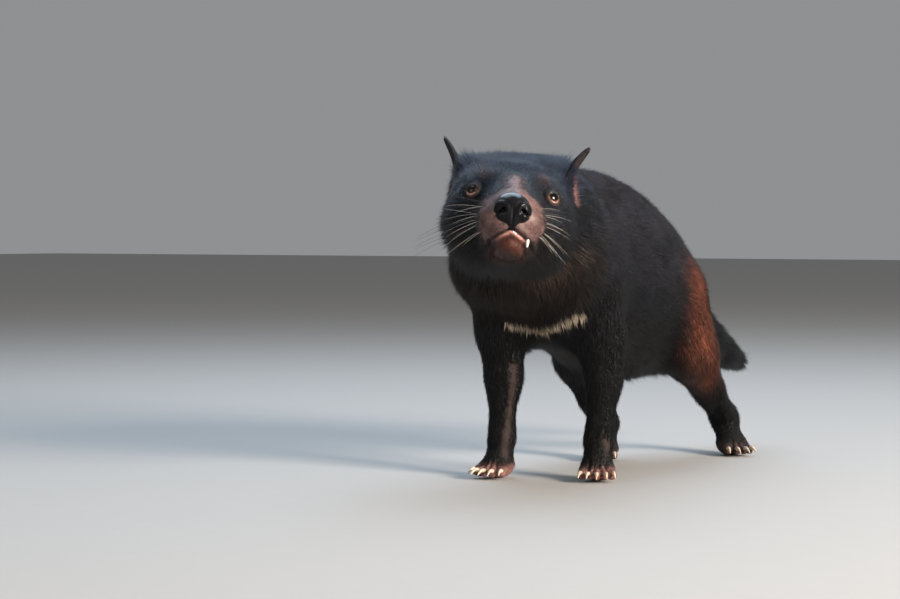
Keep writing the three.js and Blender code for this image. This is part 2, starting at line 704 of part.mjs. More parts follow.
// The head, its lower jaw, nose, tooth, eyes and ears
function headNodes() {
  const box = new THREE.Box3(v3(-88, -392, 176), v3(140, -180, 356));
  const bare = bodyOf(body, box, HEAD_CELL);
  let whole = bare.intersect(beyond(napePoint, napeNormal, GAP / 2));
  for (const eye of eyes) {
    whole = whole.add(lids(eye));
    whole = whole.subtract(ball(eye.centre, EYE_RADIUS + GAP, 14, 9));
  }

  const mouthPoint = headPoint(MOUTH_CORNER, 0, MOUTH_HEIGHT);
  const mouthNormal = headDirection(-0.03, 0, 1);
  const cornerNormal = headDirection(1, 0, 0.15);
  const jawSide = (shift) =>
    beyond(mouthPoint, cornerNormal, shift).intersect(before(mouthPoint, mouthNormal, shift));
  const lipOffset = LIP_RADIUS * 0.8;
  const upperLip = lip(MOUTH_HEIGHT + lipOffset).intersect(beyond(mouthPoint, mouthNormal, GAP / 2));
  const lowerLip = lip(MOUTH_HEIGHT - lipOffset).intersect(jawSide(GAP / 2));
  let skull = whole.subtract(jawSide(-GAP / 2)).add(upperLip);
  let jaw = whole.intersect(jawSide(GAP / 2)).add(lowerLip);

  const nose = noseBody();
  const nostrils = nostril(1).add(nostril(-1));
  skull = skull.subtract(grown(nose, GAP + 0.05)).subtract(nostrils);
  skull = skull.subtract(canine(GAP));
  jaw = jaw.subtract(canine(GAP));

  const skin = grown(bare, GAP + 0.05);
  return [
    node("head", skull, coat),
    node("lower_jaw", jaw, muzzleSkin),
    node("nose_pad", nose.subtract(nostrils), noseSkin),
    node("canine_left", canine(0), enamel),
    node("ear_left", ear(1).subtract(skin), earSkin),
    node("ear_right", ear(-1).subtract(skin), earSkin),
    ...eyes.map((eye) => node(eye.name, ball(eye.centre, EYE_RADIUS, 14, 9), eyeball)),
  ];
}

// The toes' lines: along(distance, height) is a point of one toe, from its root in the sole forwards
function toesOf(leg) {
  const turn = THREE.MathUtils.degToRad(leg.turn) * leg.side;
  const ahead = v3(Math.sin(turn), -Math.cos(turn), 0);
  const outwards = v3(Math.cos(turn), Math.sin(turn), 0).multiplyScalar(leg.side);
  const heel = leg.joints[4].clone().setZ(0).addScaledVector(ahead, 6);
  const places = leg.fore ? [-2, -1, 0, 1, 2] : [-1.5, -0.5, 0.5, 1.5];
  const pitch = leg.fore ? 6 : 6.6;
  return places.map((place) => {
    const spread = THREE.MathUtils.degToRad(place * TOE_SPREAD);
    const way = ahead.clone().multiplyScalar(Math.cos(spread)).addScaledVector(outwards, Math.sin(spread));
    const root = heel.clone().addScaledVector(outwards, place * pitch);
    const reach = 1 - 0.07 * place * place;
    return { way, along: (d, z) => root.clone().addScaledVector(way, d * reach).setZ(z) };
  });
}

function toe(line) {
  const profile = [[-4, 11], [7, 12], [14, 9.5], [20, 6], [24, 5]];
  const points = profile.map(([distance, height]) => line.along(distance, height));
  const radii = [TOE_RADIUS, TOE_RADIUS + 0.4, TOE_RADIUS, TOE_RADIUS + 0.3, TOE_RADIUS * 0.55];
  return taperedTube(points, radii, 6);
}

// A claw rises a little out of its toe, then bends down to a blunt point
function claw(line, grow) {
  const points = [];
  const radii = [];
  const steps = 4;
  for (let i = 0; i <= steps; i++) {
    const t = i / steps;
    points.push(line.along(21 + CLAW_LENGTH * t, 9.2 + 2 * Math.sin(t * 2.4) - 5.2 * t * t));
    radii.push((CLAW_RADIUS - 0.45) * (1 - t) ** 0.8 + 0.45 + grow);
  }
  return taperedTube(points, radii, 6);
}

function foot(leg, lines) {
  const ankle = leg.joints[4];
  const middle = v3(ankle.x, ankle.y, 11).addScaledVector(lines[2].way, 4);
  const palm = ellipsoid(middle, v3(SOLE_RADIUS, SOLE_RADIUS, 12));
  const box = new THREE.Box3().setFromCenterAndSize(v3(ankle.x, ankle.y, 20), v3(96, 96, 84));
  const whole = bodyOf(smoothUnion(10, body, palm), box, FOOT_CELL);
  return lines.reduce((rest, line) => rest.add(toe(line)), whole).intersect(aboveGround);
}

// One leg: the thigh or upper arm, the shank or forearm, the foot and its claws
function legNodes(leg, i) {
  const [, knee, shin, ankle, sole] = leg.joints;
  const kneePoint = leg.fore ? shin : knee.clone().lerp(shin, 0.3);
  const kneeNormal = knee.clone().sub(ankle).normalize();
  const ankleNormal = shin.clone().sub(sole).normalize();
  const box = new THREE.Box3().setFromPoints(leg.joints).expandByScalar(60);
  box.min.z = 4;
  const whole = bodyOf(body, box, LEG_CELL).intersect(legRooms[i]);
  const upper = whole.intersect(beyond(kneePoint, kneeNormal, GAP / 2));
  const rest = whole.intersect(before(kneePoint, kneeNormal, GAP / 2));
  const lower = rest.intersect(beyond(ankle, ankleNormal, GAP / 2));
  const lines = toesOf(leg);
  let paw = foot(leg, lines).intersect(before(ankle, ankleNormal, GAP / 2));
  for (const line of lines) paw = paw.subtract(claw(line, GAP));
  return [
    node(`${leg.name}_upper`, upper, leg.fore ? coat : flankCoat),
    node(`${leg.name}_lower`, lower, coat),
    node(`${leg.name}_foot`, paw, footSkin),
    ...lines.map((line, number) => node(`${leg.name}_claw_${number + 1}`, claw(line, 0), horn)),
  ];
}

const devil = new THREE.Group();
devil.add(torsoNode(), neckNode(), tailNode(), ...headNodes(), ...legs.flatMap(legNodes));

// The origin goes to the middle of the bounding box, on the ground
const bounds = new THREE.Box3().setFromObject(devil);
devil.position.set(-(bounds.min.x + bounds.max.x) / 2, -(bounds.min.y + bounds.max.y) / 2, 0);
devil.updateMatrixWorld(true);

export default devil;
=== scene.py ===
"""A Tasmanian devil, life size, as a still museum model: skin, coat, eyes, nose, ears, claws and whiskers."""

import logging
import math
from collections.abc import Callable
from dataclasses import dataclass, field, fields
from enum import Enum

import bmesh
import bpy
import numpy as np
from mathutils import Matrix, Vector
from mathutils.bvhtree import BVHTree


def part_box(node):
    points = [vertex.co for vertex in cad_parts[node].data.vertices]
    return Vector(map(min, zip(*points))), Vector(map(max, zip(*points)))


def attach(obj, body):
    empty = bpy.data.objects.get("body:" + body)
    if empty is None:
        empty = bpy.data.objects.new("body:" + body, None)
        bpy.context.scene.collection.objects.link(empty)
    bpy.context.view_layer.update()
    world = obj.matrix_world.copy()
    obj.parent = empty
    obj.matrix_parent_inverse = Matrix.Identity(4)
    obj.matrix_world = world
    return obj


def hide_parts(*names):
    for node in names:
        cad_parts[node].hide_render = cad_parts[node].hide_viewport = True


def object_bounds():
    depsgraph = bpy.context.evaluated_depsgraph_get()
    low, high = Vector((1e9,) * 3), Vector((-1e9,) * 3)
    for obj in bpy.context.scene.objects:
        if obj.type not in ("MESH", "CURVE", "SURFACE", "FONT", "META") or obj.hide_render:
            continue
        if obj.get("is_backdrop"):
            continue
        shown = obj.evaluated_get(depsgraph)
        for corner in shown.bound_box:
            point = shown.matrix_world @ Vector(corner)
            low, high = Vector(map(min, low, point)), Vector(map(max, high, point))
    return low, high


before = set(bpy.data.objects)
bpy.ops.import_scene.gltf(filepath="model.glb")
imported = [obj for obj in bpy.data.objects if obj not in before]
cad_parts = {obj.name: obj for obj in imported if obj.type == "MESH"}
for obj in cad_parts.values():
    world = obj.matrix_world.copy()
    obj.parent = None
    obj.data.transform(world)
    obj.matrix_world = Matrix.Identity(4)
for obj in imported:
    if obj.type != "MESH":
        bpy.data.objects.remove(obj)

LOG = logging.getLogger("devil")
Points = np.ndarray
Triple = tuple[float, float, float]
Span = tuple[float, float]
Pixels = tuple[Span, ...]
Material = bpy.types.Material
Socket = bpy.types.NodeSocket
MM = 0.001
ROOT = "root"


class Region(Enum):
    """The parts of the body whose coat differs."""

    HEAD = 0
    NECK = 1
    TORSO = 2
    TAIL = 3
    FORELEG = 4
    HINDLEG = 5
    FOOT = 6
    NOSE = 7


class Side(Enum):
    """The two sides of the animal, as the sign of the axis that points to its left."""

    LEFT = 1.0
    RIGHT = -1.0

    @property
    def word(self) -> str:
        """The side in words."""
        return self.name.lower()


def region_of(node: str) -> Region:
    """Region that a node of the frame belongs to.

    Args:
        node: name of a flesh node.

    Returns:
        The region.
    """
    if node.endswith("_foot"):
        return Region.FOOT
    if node.startswith("foreleg"):
        return Region.FORELEG
    if node.startswith("hindleg"):
        return Region.HINDLEG
    if node == "nose_pad":
        return Region.NOSE
    return {"neck": Region.NECK, "torso": Region.TORSO, "tail": Region.TAIL}.get(node, Region.HEAD)


def share_of(weights: Points, *regions: Region) -> Points:
    """Weights of some regions together.

    Args:
        weights: one row per point and one column per region.
        regions: the regions.

    Returns:
        One share per point.
    """
    return weights[:, [region.value for region in regions]].sum(axis=1)


def middle_of(node: str) -> Points:
    """Middle of a node's box, in metres."""
    return np.array(sum(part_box(node), Vector())) / 2.0


def claws_of(leg: str) -> list[str]:
    """Names of the claws of a leg, in order."""
    return sorted(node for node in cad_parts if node.startswith(f"{leg}_claw"))


def unit(vectors: Points) -> Points:
    """Vectors scaled to length one.

    Args:
        vectors: array whose last axis is x, y, z.

    Returns:
        The unit vectors.
    """
    length = np.linalg.norm(vectors, axis=-1, keepdims=True)
    return vectors / np.maximum(length, 1e-12)


def ramp(values: Points, low: float, high: float) -> Points:
    """Smooth step from 0 at low to 1 at high; low may be the larger one.

    Args:
        values: numbers to grade.
        low: where the step starts.
        high: where the step ends.

    Returns:
        Values from 0 to 1.
    """
    t = np.clip((values - low) / (high - low), 0.0, 1.0)
    return t * t * (3.0 - 2.0 * t)


def bell(distance: Points, width: float) -> Points:
    """Gaussian of a distance.

    Args:
        distance: distances, in the same unit as width.
        width: standard deviation.

    Returns:
        Values from 0 to 1.
    """
    return np.exp(-0.5 * (distance / width) ** 2)


def ripple(points: Points, size: float, seed: int) -> Points:
    """Soft random field made of crossing waves.

    Args:
        points: places in metres.
        size: typical distance between crests, in metres.
        seed: choice of field.

    Returns:
        One value per point, about -1 to 1.
    """
    rng = np.random.default_rng(seed)
    total = np.zeros(len(points))
    waves = 7
    for _ in range(waves):
        way = rng.normal(size=3)
        way *= rng.uniform(0.6, 1.5) * 2.0 * math.pi / (size * np.linalg.norm(way))
        total += np.sin(points @ way + rng.uniform(0.0, 2.0 * math.pi))
    return total / math.sqrt(waves)


@dataclass(frozen=True)
class HeadAxes:
    """The head's own axes: millimetres forward, left and up from the middle of the line of the ears."""

    yaw: float = math.radians(34.5)
    pitch: float = math.radians(12.0)
    roll: float = math.radians(5.5)
    eyes_ahead: float = 52.3
    eyes_above: float = -3.8

    def basis(self) -> Points:
        """The axes in the row frame.

        Returns:
            Rows forward, left and up, as unit vectors.
        """
        forward = np.array([math.sin(self.yaw) * math.cos(self.pitch),
                            -math.cos(self.yaw) * math.cos(self.pitch),
                            math.sin(self.pitch)])
        level = np.array([math.cos(self.yaw), math.sin(self.yaw), 0.0])
        upright = np.cross(forward, level)
        left = level * math.cos(self.roll) - upright * math.sin(self.roll)
        return np.array([forward, left, np.cross(forward, left)])

    def origin(self) -> Points:
        """Middle of the line of the ears, found from the eyes.

        Returns:
            The point, in metres.
        """
        eyes = (middle_of("eye_left") + middle_of("eye_right")) / 2.0
        forward, _, up = self.basis()
        return eyes - (forward * self.eyes_ahead + up * self.eyes_above) * MM

    def inside(self, points: Points) -> Points:
        """Points of the row frame as forward, left and up in millimetres."""
        return (points - self.origin()) @ self.basis().T / MM

    def outside(self, local: Points) -> Points:
        """Forward, left and up in millimetres as points of the row frame."""
        return self.origin() + np.asarray(local, float) @ self.basis() * MM

    def way(self, local: Points) -> Points:
        """Direction of the row frame for a direction in the head's axes."""
        return unit(np.asarray(local, float) @ self.basis())


HEAD = HeadAxes()
LEGS = ("foreleg_left", "foreleg_right", "hindleg_left", "hindleg_right")


def lip_line(f: Points, l: Points) -> Points:
    """Height of the line of the mouth, in millimetres in the head's axes.

    Args:
        f: distances forward.
        l: distances to the left.

    Returns:
        The heights: highest under the nose, falling to both sides.
    """
    return -46.6 - 0.44 * np.minimum(np.abs(l), 22.0) - 1.5 * ramp(f, 88.0, 62.0)


@dataclass(frozen=True)
class PhotoCamera:
    """The camera of the photograph, with rays through its pixels."""

    place: Triple = (1.0764, -1.9506, 0.2500)
    yaw: float = math.radians(33.0)
    pitch: float = math.radians(-1.87)
    lens: float = 85.0
    sensor: float = 36.0
    width: int = 900
    height: int = 599
    clipping: Span = (0.05, 60.0)

    def turn(self) -> Matrix:
        """Rotation of the camera."""
        return Matrix.Rotation(self.yaw, 4, "Z") @ Matrix.Rotation(math.pi / 2.0 + self.pitch, 4, "X")

    def build(self) -> None:
        """Adds the camera and makes it the scene's own."""
        data = bpy.data.cameras.new("photo_camera")
        data.lens = self.lens
        data.sensor_width = self.sensor
        data.sensor_fit = "HORIZONTAL"
        data.clip_start, data.clip_end = self.clipping
        camera = bpy.data.objects.new("photo_camera", data)
        camera.matrix_world = Matrix.Translation(self.place) @ self.turn()
        bpy.context.scene.collection.objects.link(camera)
        bpy.context.scene.camera = camera

    def hit(self, tree: BVHTree, pixel: tuple[float, float]) -> Vector:
        """Where the line through a pixel first meets a surface.

        Args:
            tree: the surface.
            pixel: x and y in the 900 by 599 frame.

        Returns:
            The point, or the nearest point of the surface where the line misses it.
        """
        focal = self.width * self.lens / self.sensor
        ray = Vector(((pixel[0] - self.width / 2.0) / focal, (self.height / 2.0 - pixel[1]) / focal, -1.0))
        ray = (self.turn().to_3x3() @ ray).normalized()
        found = tree.ray_cast(Vector(self.place), ray)[0]
        if found is not None:
            return found
        middle = sum(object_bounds(), Vector()) / 2.0
        return tree.find_nearest(Vector(self.place) + ray * (middle - Vector(self.place)).length)[0]


CAMERA = PhotoCamera()


class Surface:
    """A mesh held as arrays, for smoothing, sculpting and scattering."""

    def __init__(self, mesh: bpy.types.Mesh) -> None:
        """Reads a mesh.

        Args:
            mesh: the mesh to read.
        """
        self.mesh = mesh
        count = len(mesh.vertices)
        self.points = np.empty(count * 3)
        mesh.vertices.foreach_get("co", self.points)
        self.points = self.points.reshape(-1, 3)
        edges = np.empty(len(mesh.edges) * 2, dtype=np.int64)
        mesh.edges.foreach_get("vertices", edges)
        self.edges = edges.reshape(-1, 2)
        self.degree = np.bincount(self.edges.ravel(), minlength=count).astype(float)
        mesh.calc_loop_triangles()
        triangles = np.empty(len(mesh.loop_triangles) * 3, dtype=np.int64)
        mesh.loop_triangles.foreach_get("vertices", triangles)
        self.triangles = triangles.reshape(-1, 3)

    def mean_of_neighbours(self, values: Points) -> Points:
        """Average of each vertex's neighbours.

        Args:
            values: one row per vertex.

        Returns:
            The averages, in the same shape.
        """
        flat = values.reshape(len(values), -1)
        a, b = self.edges.T
        total = np.empty_like(flat)
        for column in range(flat.shape[1]):
            data = flat[:, column]
            total[:, column] = (np.bincount(a, data[b], len(flat)) + np.bincount(b, data[a], len(flat)))
        return (total / np.maximum(self.degree, 1.0)[:, None]).reshape(values.shape)

    def relax(self, rounds: int, strength: Points | float) -> None:
        """Smooths the vertices.

        Args:
            rounds: number of passes.
            strength: share of the way to the neighbours' mean, for all or for each vertex.
        """
        share = np.broadcast_to(np.asarray(strength, float), (len(self.points),))[:, None]
        for _ in range(rounds):
            self.points += (self.mean_of_neighbours(self.points) - self.points) * share

    def diffuse(self, values: Points, rounds: int) -> Points:
        """Values blurred along the surface.

        Args:
            values: one row per vertex.
            rounds: number of passes.

        Returns:
            The blurred values.
        """
        for _ in range(rounds):
            values = 0.3 * values + 0.7 * self.mean_of_neighbours(values)
        return values

    def normals(self) -> Points:
        """Unit normals of the vertices.

        Returns:
            One vector per vertex.
        """
        a, b, c = (self.points[self.triangles[:, k]] for k in range(3))
        face = np.cross(b - a, c - a)
        total = np.zeros_like(self.points)
        for k in range(3):
            for axis in range(3):
                total[:, axis] += np.bincount(self.triangles[:, k], face[:, axis], len(self.points))
        return unit(total)

    def write(self) -> None:
        """Puts the points back into the mesh."""
        self.mesh.vertices.foreach_set("co", self.points.ravel())
        self.mesh.update()

    def tree(self) -> BVHTree:
        """Search tree of the surface."""
        return BVHTree.FromPolygons(self.points.tolist(), self.triangles.tolist())


def merged_node(name: str, swell: float) -> tuple[Points, Points]:
    """A node's vertices and triangles, with its loose triangles merged and its surface moved out.

    Args:
        name: name of the node.
        swell: how far the surface moves out, in metres.

    Returns:
        Vertices and triangles.
    """
    bm = bmesh.new()
    bm.from_mesh(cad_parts[name].data)
    bmesh.ops.remove_doubles(bm, verts=bm.verts, dist=1e-6)
    bmesh.ops.triangulate(bm, faces=bm.faces)
    bm.normal_update()
    points = np.array([v.co + v.normal * swell for v in bm.verts])
    faces = np.array([[v.index for v in f.verts] for f in bm.faces])
    bm.free()
    return points, faces


def joined_nodes(nodes: list[str], swell: float) -> tuple[Points, Points, Points]:
    """Several nodes as one list of vertices and triangles.

    Args:
        nodes: names of the nodes.
        swell: how far each node's surface moves out, in metres.

    Returns:
        Vertices, triangles, and the place in the list of the node that each triangle comes from.
    """
    parts = [merged_node(node, swell) for node in nodes]
    starts = np.cumsum([0] + [len(points) for points, _ in parts[:-1]])
    faces = [triangles + start for (_, triangles), start in zip(parts, starts)]
    owner = np.repeat(np.arange(len(nodes)), [len(triangles) for triangles in faces])
    return np.concatenate([points for points, _ in parts]), np.concatenate(faces), owner


def mesh_from(bm: bmesh.types.BMesh, name: str) -> bpy.types.Mesh:
    """Turns a finished bmesh into a mesh, and frees it.

    Operators may list the same faces in another order from run to run, so they are put in order here.

    Args:
        bm: the bmesh.
        name: name of the mesh.

    Returns:
        The mesh.
    """
    bm.verts.index_update()
    faces = []
    for face in bm.faces:
        ring = [vert.index for vert in face.verts]
        first = ring.index(min(ring))
        faces.append(ring[first:] + ring[:first])
    mesh = bpy.data.meshes.new(name)
    mesh.from_pydata([vert.co for vert in bm.verts], [], sorted(faces))
    bm.free()
    return mesh


def remeshed(name: str, nodes: list[str], swell: float, voxel: float) -> bpy.types.Mesh:
    """One closed surface round copies of several nodes.

    Args:
        name: name of the mesh.
        nodes: the nodes that are fused.
        swell: how far each copy's surface moves out first, in metres.
        voxel: cell size, in metres.

    Returns:
        The mesh, without loose scraps.
    """
    points, faces, _ = joined_nodes(nodes, swell)
    rough = bpy.data.meshes.new(name)
    rough.from_pydata(points.tolist(), [], faces.tolist())
    source = bpy.data.objects.new(name, rough)
    bpy.context.scene.collection.objects.link(source)
    modifier = source.modifiers.new("fuse", "REMESH")
    modifier.mode = "VOXEL"
    modifier.voxel_size = voxel
    graph = bpy.context.evaluated_depsgraph_get()
    mesh = bpy.data.meshes.new_from_object(source.evaluated_get(graph))
    bpy.data.objects.remove(source)
    keep_largest(mesh)
    return mesh


def keep_largest(mesh: bpy.types.Mesh) -> None:
    """Deletes all but the largest connected surface of a mesh.

    Args:
        mesh: the mesh that is cleaned.
    """
    bm = bmesh.new()
    bm.from_mesh(mesh)
    bm.verts.ensure_lookup_table()
    label = [-1] * len(bm.verts)
    sizes: list[int] = []
    for seed in bm.verts:
        if label[seed.index] >= 0:
            continue
        label[seed.index] = len(sizes)
        queue = [seed]
        count = 0
        while queue:
            vert = queue.pop()
            count += 1
            for edge in vert.link_edges:
                other = edge.other_vert(vert)
                if label[other.index] < 0:
                    label[other.index] = len(sizes)
                    queue.append(other)
        sizes.append(count)
    best = sizes.index(max(sizes))
    bmesh.ops.delete(bm, geom=[v for v in bm.verts if label[v.index] != best], context="VERTS")
    bm.to_mesh(mesh)
    bm.free()


def new_piece(name: str, mesh: bpy.types.Mesh, material: Material,
              replaced: list[str] | None = None) -> bpy.types.Object:
    """Puts a finished mesh into the scene as a piece of the animal.

    Args:
        name: name of the piece.
        mesh: its mesh, in place.
        material: its finish.
        replaced: nodes that it stands for.

    Returns:
        The object.
    """
    mesh.name = name
    mesh.materials.clear()
    mesh.materials.append(material)
    mesh.polygons.foreach_set("use_smooth", np.ones(len(mesh.polygons), bool))
    piece = bpy.data.objects.new(name, mesh)
    bpy.context.scene.collection.objects.link(piece)
    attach(piece, ROOT)
    if replaced:
        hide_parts(*replaced)
    LOG.info("%s: %d vertices, %d faces", name, len(mesh.vertices), len(mesh.polygons))
    return piece


def store_colour(mesh: bpy.types.Mesh, name: str, colours: Points) -> None:
    """Stores one colour per vertex.

    Args:
        mesh: the mesh.
        name: name of the attribute.
        colours: red, green and blue of each vertex.
    """
    layer = mesh.attributes.new(name, "FLOAT_COLOR", "POINT")
    opaque = np.column_stack([colours, np.ones(len(colours))])
    layer.data.foreach_set("color", opaque.astype(np.float32).ravel())


def store_value(mesh: bpy.types.Mesh, name: str, values: Points) -> None:
    """Stores one number per vertex.

    Args:
        mesh: the mesh.
        name: name of the attribute.
        values: the numbers.
    """
    layer = mesh.attributes.new(name, "FLOAT", "POINT")
    layer.data.foreach_set("value", np.asarray(values, np.float32))


@dataclass(frozen=True)
class CoatColours:
    """Colours of the coat and the bare skin, in linear red, green and blue."""

    black: Triple = (0.0048, 0.0052, 0.0064)
    # Painted sheen: the bluish reflection of the sky, laid on the upper coat and the crown.
    slate: Triple = (0.007, 0.013, 0.033)
    # Painted sheen: paler bluish grey on the top of the back.
    dusk: Triple = (0.034, 0.031, 0.042)
    # Brownish neck hair, made paler as painted sunlight on the lit side only.
    mane: Triple = (0.085, 0.055, 0.042)
    throat: Triple = (0.018, 0.011, 0.007)
    rust: Triple = (0.250, 0.074, 0.038)
    cream: Triple = (0.74, 0.60, 0.45)
    brow: Triple = (0.085, 0.040, 0.030)
    muzzle: Triple = (0.155, 0.088, 0.078)
    # Pale pink of the lip, made paler as a painted wet highlight.
    lip: Triple = (0.640, 0.320, 0.270)
    chin: Triple = (0.090, 0.024, 0.013)
    nose: Triple = (0.005, 0.005, 0.006)
    ear: Triple = (0.330, 0.150, 0.120)
    lid: Triple = (0.230, 0.130, 0.100)
    paw: Triple = (0.250, 0.125, 0.108)
    forearm: Triple = (0.060, 0.034, 0.027)


@dataclass
class Markings:
    """Where the colours of the coat lie, for the skin and for the tufts alike."""

    colours: CoatColours = field(default_factory=CoatColours)
    band_pixels: Pixels = (
        (508, 321), (515, 322), (525, 323), (535, 324), (545, 323), (555, 319.5), (565, 315), (574, 312.5),
        (580, 312.5))
    band_half_width: float = 4.0
    rust_pixels: Pixels = (
        (691, 276), (698, 304), (701, 333), (705, 352), (710, 376))
    rust_reach: float = 21.0
    mane_pixels: Pixels = ((532, 268), (552, 272), (566, 262))
    mane_reach: float = 17.0
    ear_places: tuple[Triple, ...] = (
        (-17.0, 55.5, 41.0), (-6.0, 58.0, 26.0), (2.0, 60.5, 8.0))
    arm_pixels: Pixels = ((513, 362), (512, 385), (511, 405), (507, 430), (505, 452))
    wrist_pixels: Pixels = ((606, 438), (607, 448))
    band_flare: float = 0.35
    band_edge: Span = (1.25, 0.8)
    arm_edge: Span = (6.5, 1.5)
    wrist_edge: Span = (6.0, 1.5)
    ear_edge: Span = (6.5, 4.0)
    toe_height: Span = (0.019, 0.011)
    hind_toe_share: float = 0.3
    muzzle_front: Span = (59.0, 74.0)
    muzzle_side: Span = (8.0, -5.0)
    slate_height: Span = (0.12, 0.27)
    dusk_height: Span = (0.15, 0.26)
    throat_height: Span = (0.285, 0.2)
    crown_height: Span = (-10.0, 40.0)
    jaw_height: Span = (-35.0, -62.0)
    chin_height: Span = (-59.0, -72.0)
    brow_place: Triple = (55.0, 28.0, 15.5)
    brow_width: float = 4.0
    lip_side: Span = (15.0, 9.0)
    mouth_side: Span = (22.0, 16.0)
    lid_reach: Span = (8.4, 6.6)

    def locate(self, tree: BVHTree) -> None:
        """Finds the photograph's marks on the skin.

        Args:
            tree: search tree of the skin.
        """
        self.ear = HEAD.outside(self.ear_places)
        for mark in ("band", "rust", "mane", "arm", "wrist"):
            spots = [CAMERA.hit(tree, pixel) for pixel in getattr(self, f"{mark}_pixels")]
            setattr(self, mark, np.array(spots))
        left, right = (middle_of(f"hindleg_{side.word}_upper") for side in Side)
        self.rust_right = (self.rust - left) * np.array([-1.0, 1.0, 1.0]) + right

    @staticmethod
    def distance(points: Points, line: Points) -> Points:
        """Distance from points to a broken line, in millimetres.

        Args:
            points: places in metres.
            line: the line's corners.

        Returns:
            One distance per point.
        """
        best = np.full(len(points), np.inf)
        for a, b in zip(line[:-1], line[1:]):
            along = b - a
            t = np.clip((points - a) @ along / (along @ along), 0.0, 1.0)
            best = np.minimum(best, np.linalg.norm(points - a - t[:, None] * along, axis=1))
        return best / MM

    def band_mask(self, points: Points) -> Points:
        """How much of each point is the pale bar across the chest.

        Args:
            points: places in metres.

        Returns:
            Shares from 0 to 1.
        """
        wider = 1.0 + self.band_flare * ramp(points[:, 0], self.band[4, 0], self.band[-1, 0])
        ragged = self.band_half_width * wider * (1.0 + 0.22 * ripple(points, 0.007, 11))
        away = self.distance(points, self.band)
        return ramp(away / ragged, *self.band_edge)

    def strip_mask(self, points: Points) -> Points:
        """How bare the skin is on the inner forearm and the outer wrist.

        Args:
            points: places in metres.

        Returns:
            Shares from 0 to 1.
        """
        ragged = 1.3 * ripple(points, 0.006, 13)
        arm = ramp(self.distance(points, self.arm) + ragged, *self.arm_edge)
        wrist = ramp(self.distance(points, self.wrist) + ragged, *self.wrist_edge)
        return np.maximum(arm, wrist)

    def ear_mask(self, points: Points) -> Points:
        """How much of each point is the bare strip below the left ear."""
        return ramp(self.distance(points, self.ear), *self.ear_edge)

    def paw_mask(self, points: Points) -> Points:
        """How much of each point of a foot is the bare pink of the toes, which is duller on the hind feet."""
        low = ramp(points[:, 2] + 0.0015 * ripple(points, 0.006, 14), *self.toe_height)
        return low * np.where(points[:, 1] < 0.0, 1.0, self.hind_toe_share)

    def bare_mask(self, points: Points) -> Points:
        """How bare the skin is.

        Args:
            points: places in metres.

        Returns:
            Shares from 0 in full coat to 1 on the muzzle.
        """
        f, l, u = HEAD.inside(points).T
        side = np.abs(l)
        reach = 7.0 + 22.0 * ramp(u, -4.0, -20.0) - 14.0 * ramp(u, -50.0, -58.0)
        ragged = 2.8 * ripple(points, 0.009, 31) + 1.6 * ripple(points, 0.004, 32)
        across = ramp(side - reach + ragged, *self.muzzle_side)
        return across * ramp(f + 0.4 * ragged, *self.muzzle_front)

    def colour(self, points: Points, region: Points) -> Points:
        """Coat colour at each point, with painted sheen, sunlight, highlight and shade laid in.

        Args:
            points: places in metres.
            region: weights of the regions, one column each.

        Returns:
            Red, green and blue of each point.
        """
        c = self.colours
        f, l, u = HEAD.inside(points).T
        side = np.abs(l)
        mix = np.tile(np.array(c.black), (len(points), 1))

        def paint(share: Points, colour: Triple) -> None:
            """Lays a colour over what is there."""
            nonlocal mix
            mix = mix + (np.array(colour) - mix) * np.clip(share, 0.0, 1.0)[:, None]

        patchy = 0.5 + 0.5 * ripple(points, 0.035, 21)
        # Painted sheen: bluish sky reflection on the high parts of the body.
        paint(0.45 * patchy * ramp(points[:, 2], *self.slate_height), c.slate)
        head = share_of(region, Region.HEAD, Region.NOSE)
        # Painted sheen: bluish sky reflection on the crown of the head.
        paint(head * ramp(u, *self.crown_height) * 0.8, c.slate)
        # Painted sheen: paler bluish grey along the top of the trunk, by height.
        high = ramp(points[:, 2], *self.dusk_height)
        paint(share_of(region, Region.TORSO) * (0.3 + 0.5 * patchy) * high, c.dusk)
        low = ramp(points[:, 2], *self.throat_height)
        paint(share_of(region, Region.NECK) * low * (0.5 + 0.4 * patchy), c.throat)
        # Brownish hair on the lit side of the neck, partly painted sunlight.
        mane = np.exp(-(self.distance(points, self.mane) / self.mane_reach) ** 2)
        paint(mane * (0.5 + 0.35 * ripple(points, 0.008, 22)), c.mane)
        paint(head * ramp(u, *self.jaw_height) * 0.5, c.throat)
        for line, own in ((self.rust, points[:, 0] > 0.0), (self.rust_right, points[:, 0] < 0.0)):
            rust = np.exp(-(self.distance(points, line) / self.rust_reach) ** 2)
            paint(rust * (0.5 + 0.5 * patchy) * own, c.rust)
        ahead, aside, above = self.brow_place
        spot = np.sqrt((f - ahead) ** 2 + (side - aside) ** 2 + (u - above) ** 2)
        paint(head * bell(spot, self.brow_width) * 0.8, c.brow)
        bare = self.bare_mask(points) * head
        paint(bare, c.muzzle)
        gap = u - lip_line(f, l)
        paint(bare * ramp(gap, 0.0, -3.0), c.chin)
        paint(bare * ramp(u, *self.chin_height) * 0.7, c.throat)
        # Pale pink lip above the mouth, partly painted wet highlight.
        paint(bare * bell(gap + 2.2, 1.25) * ramp(side, *self.lip_side), c.lip)
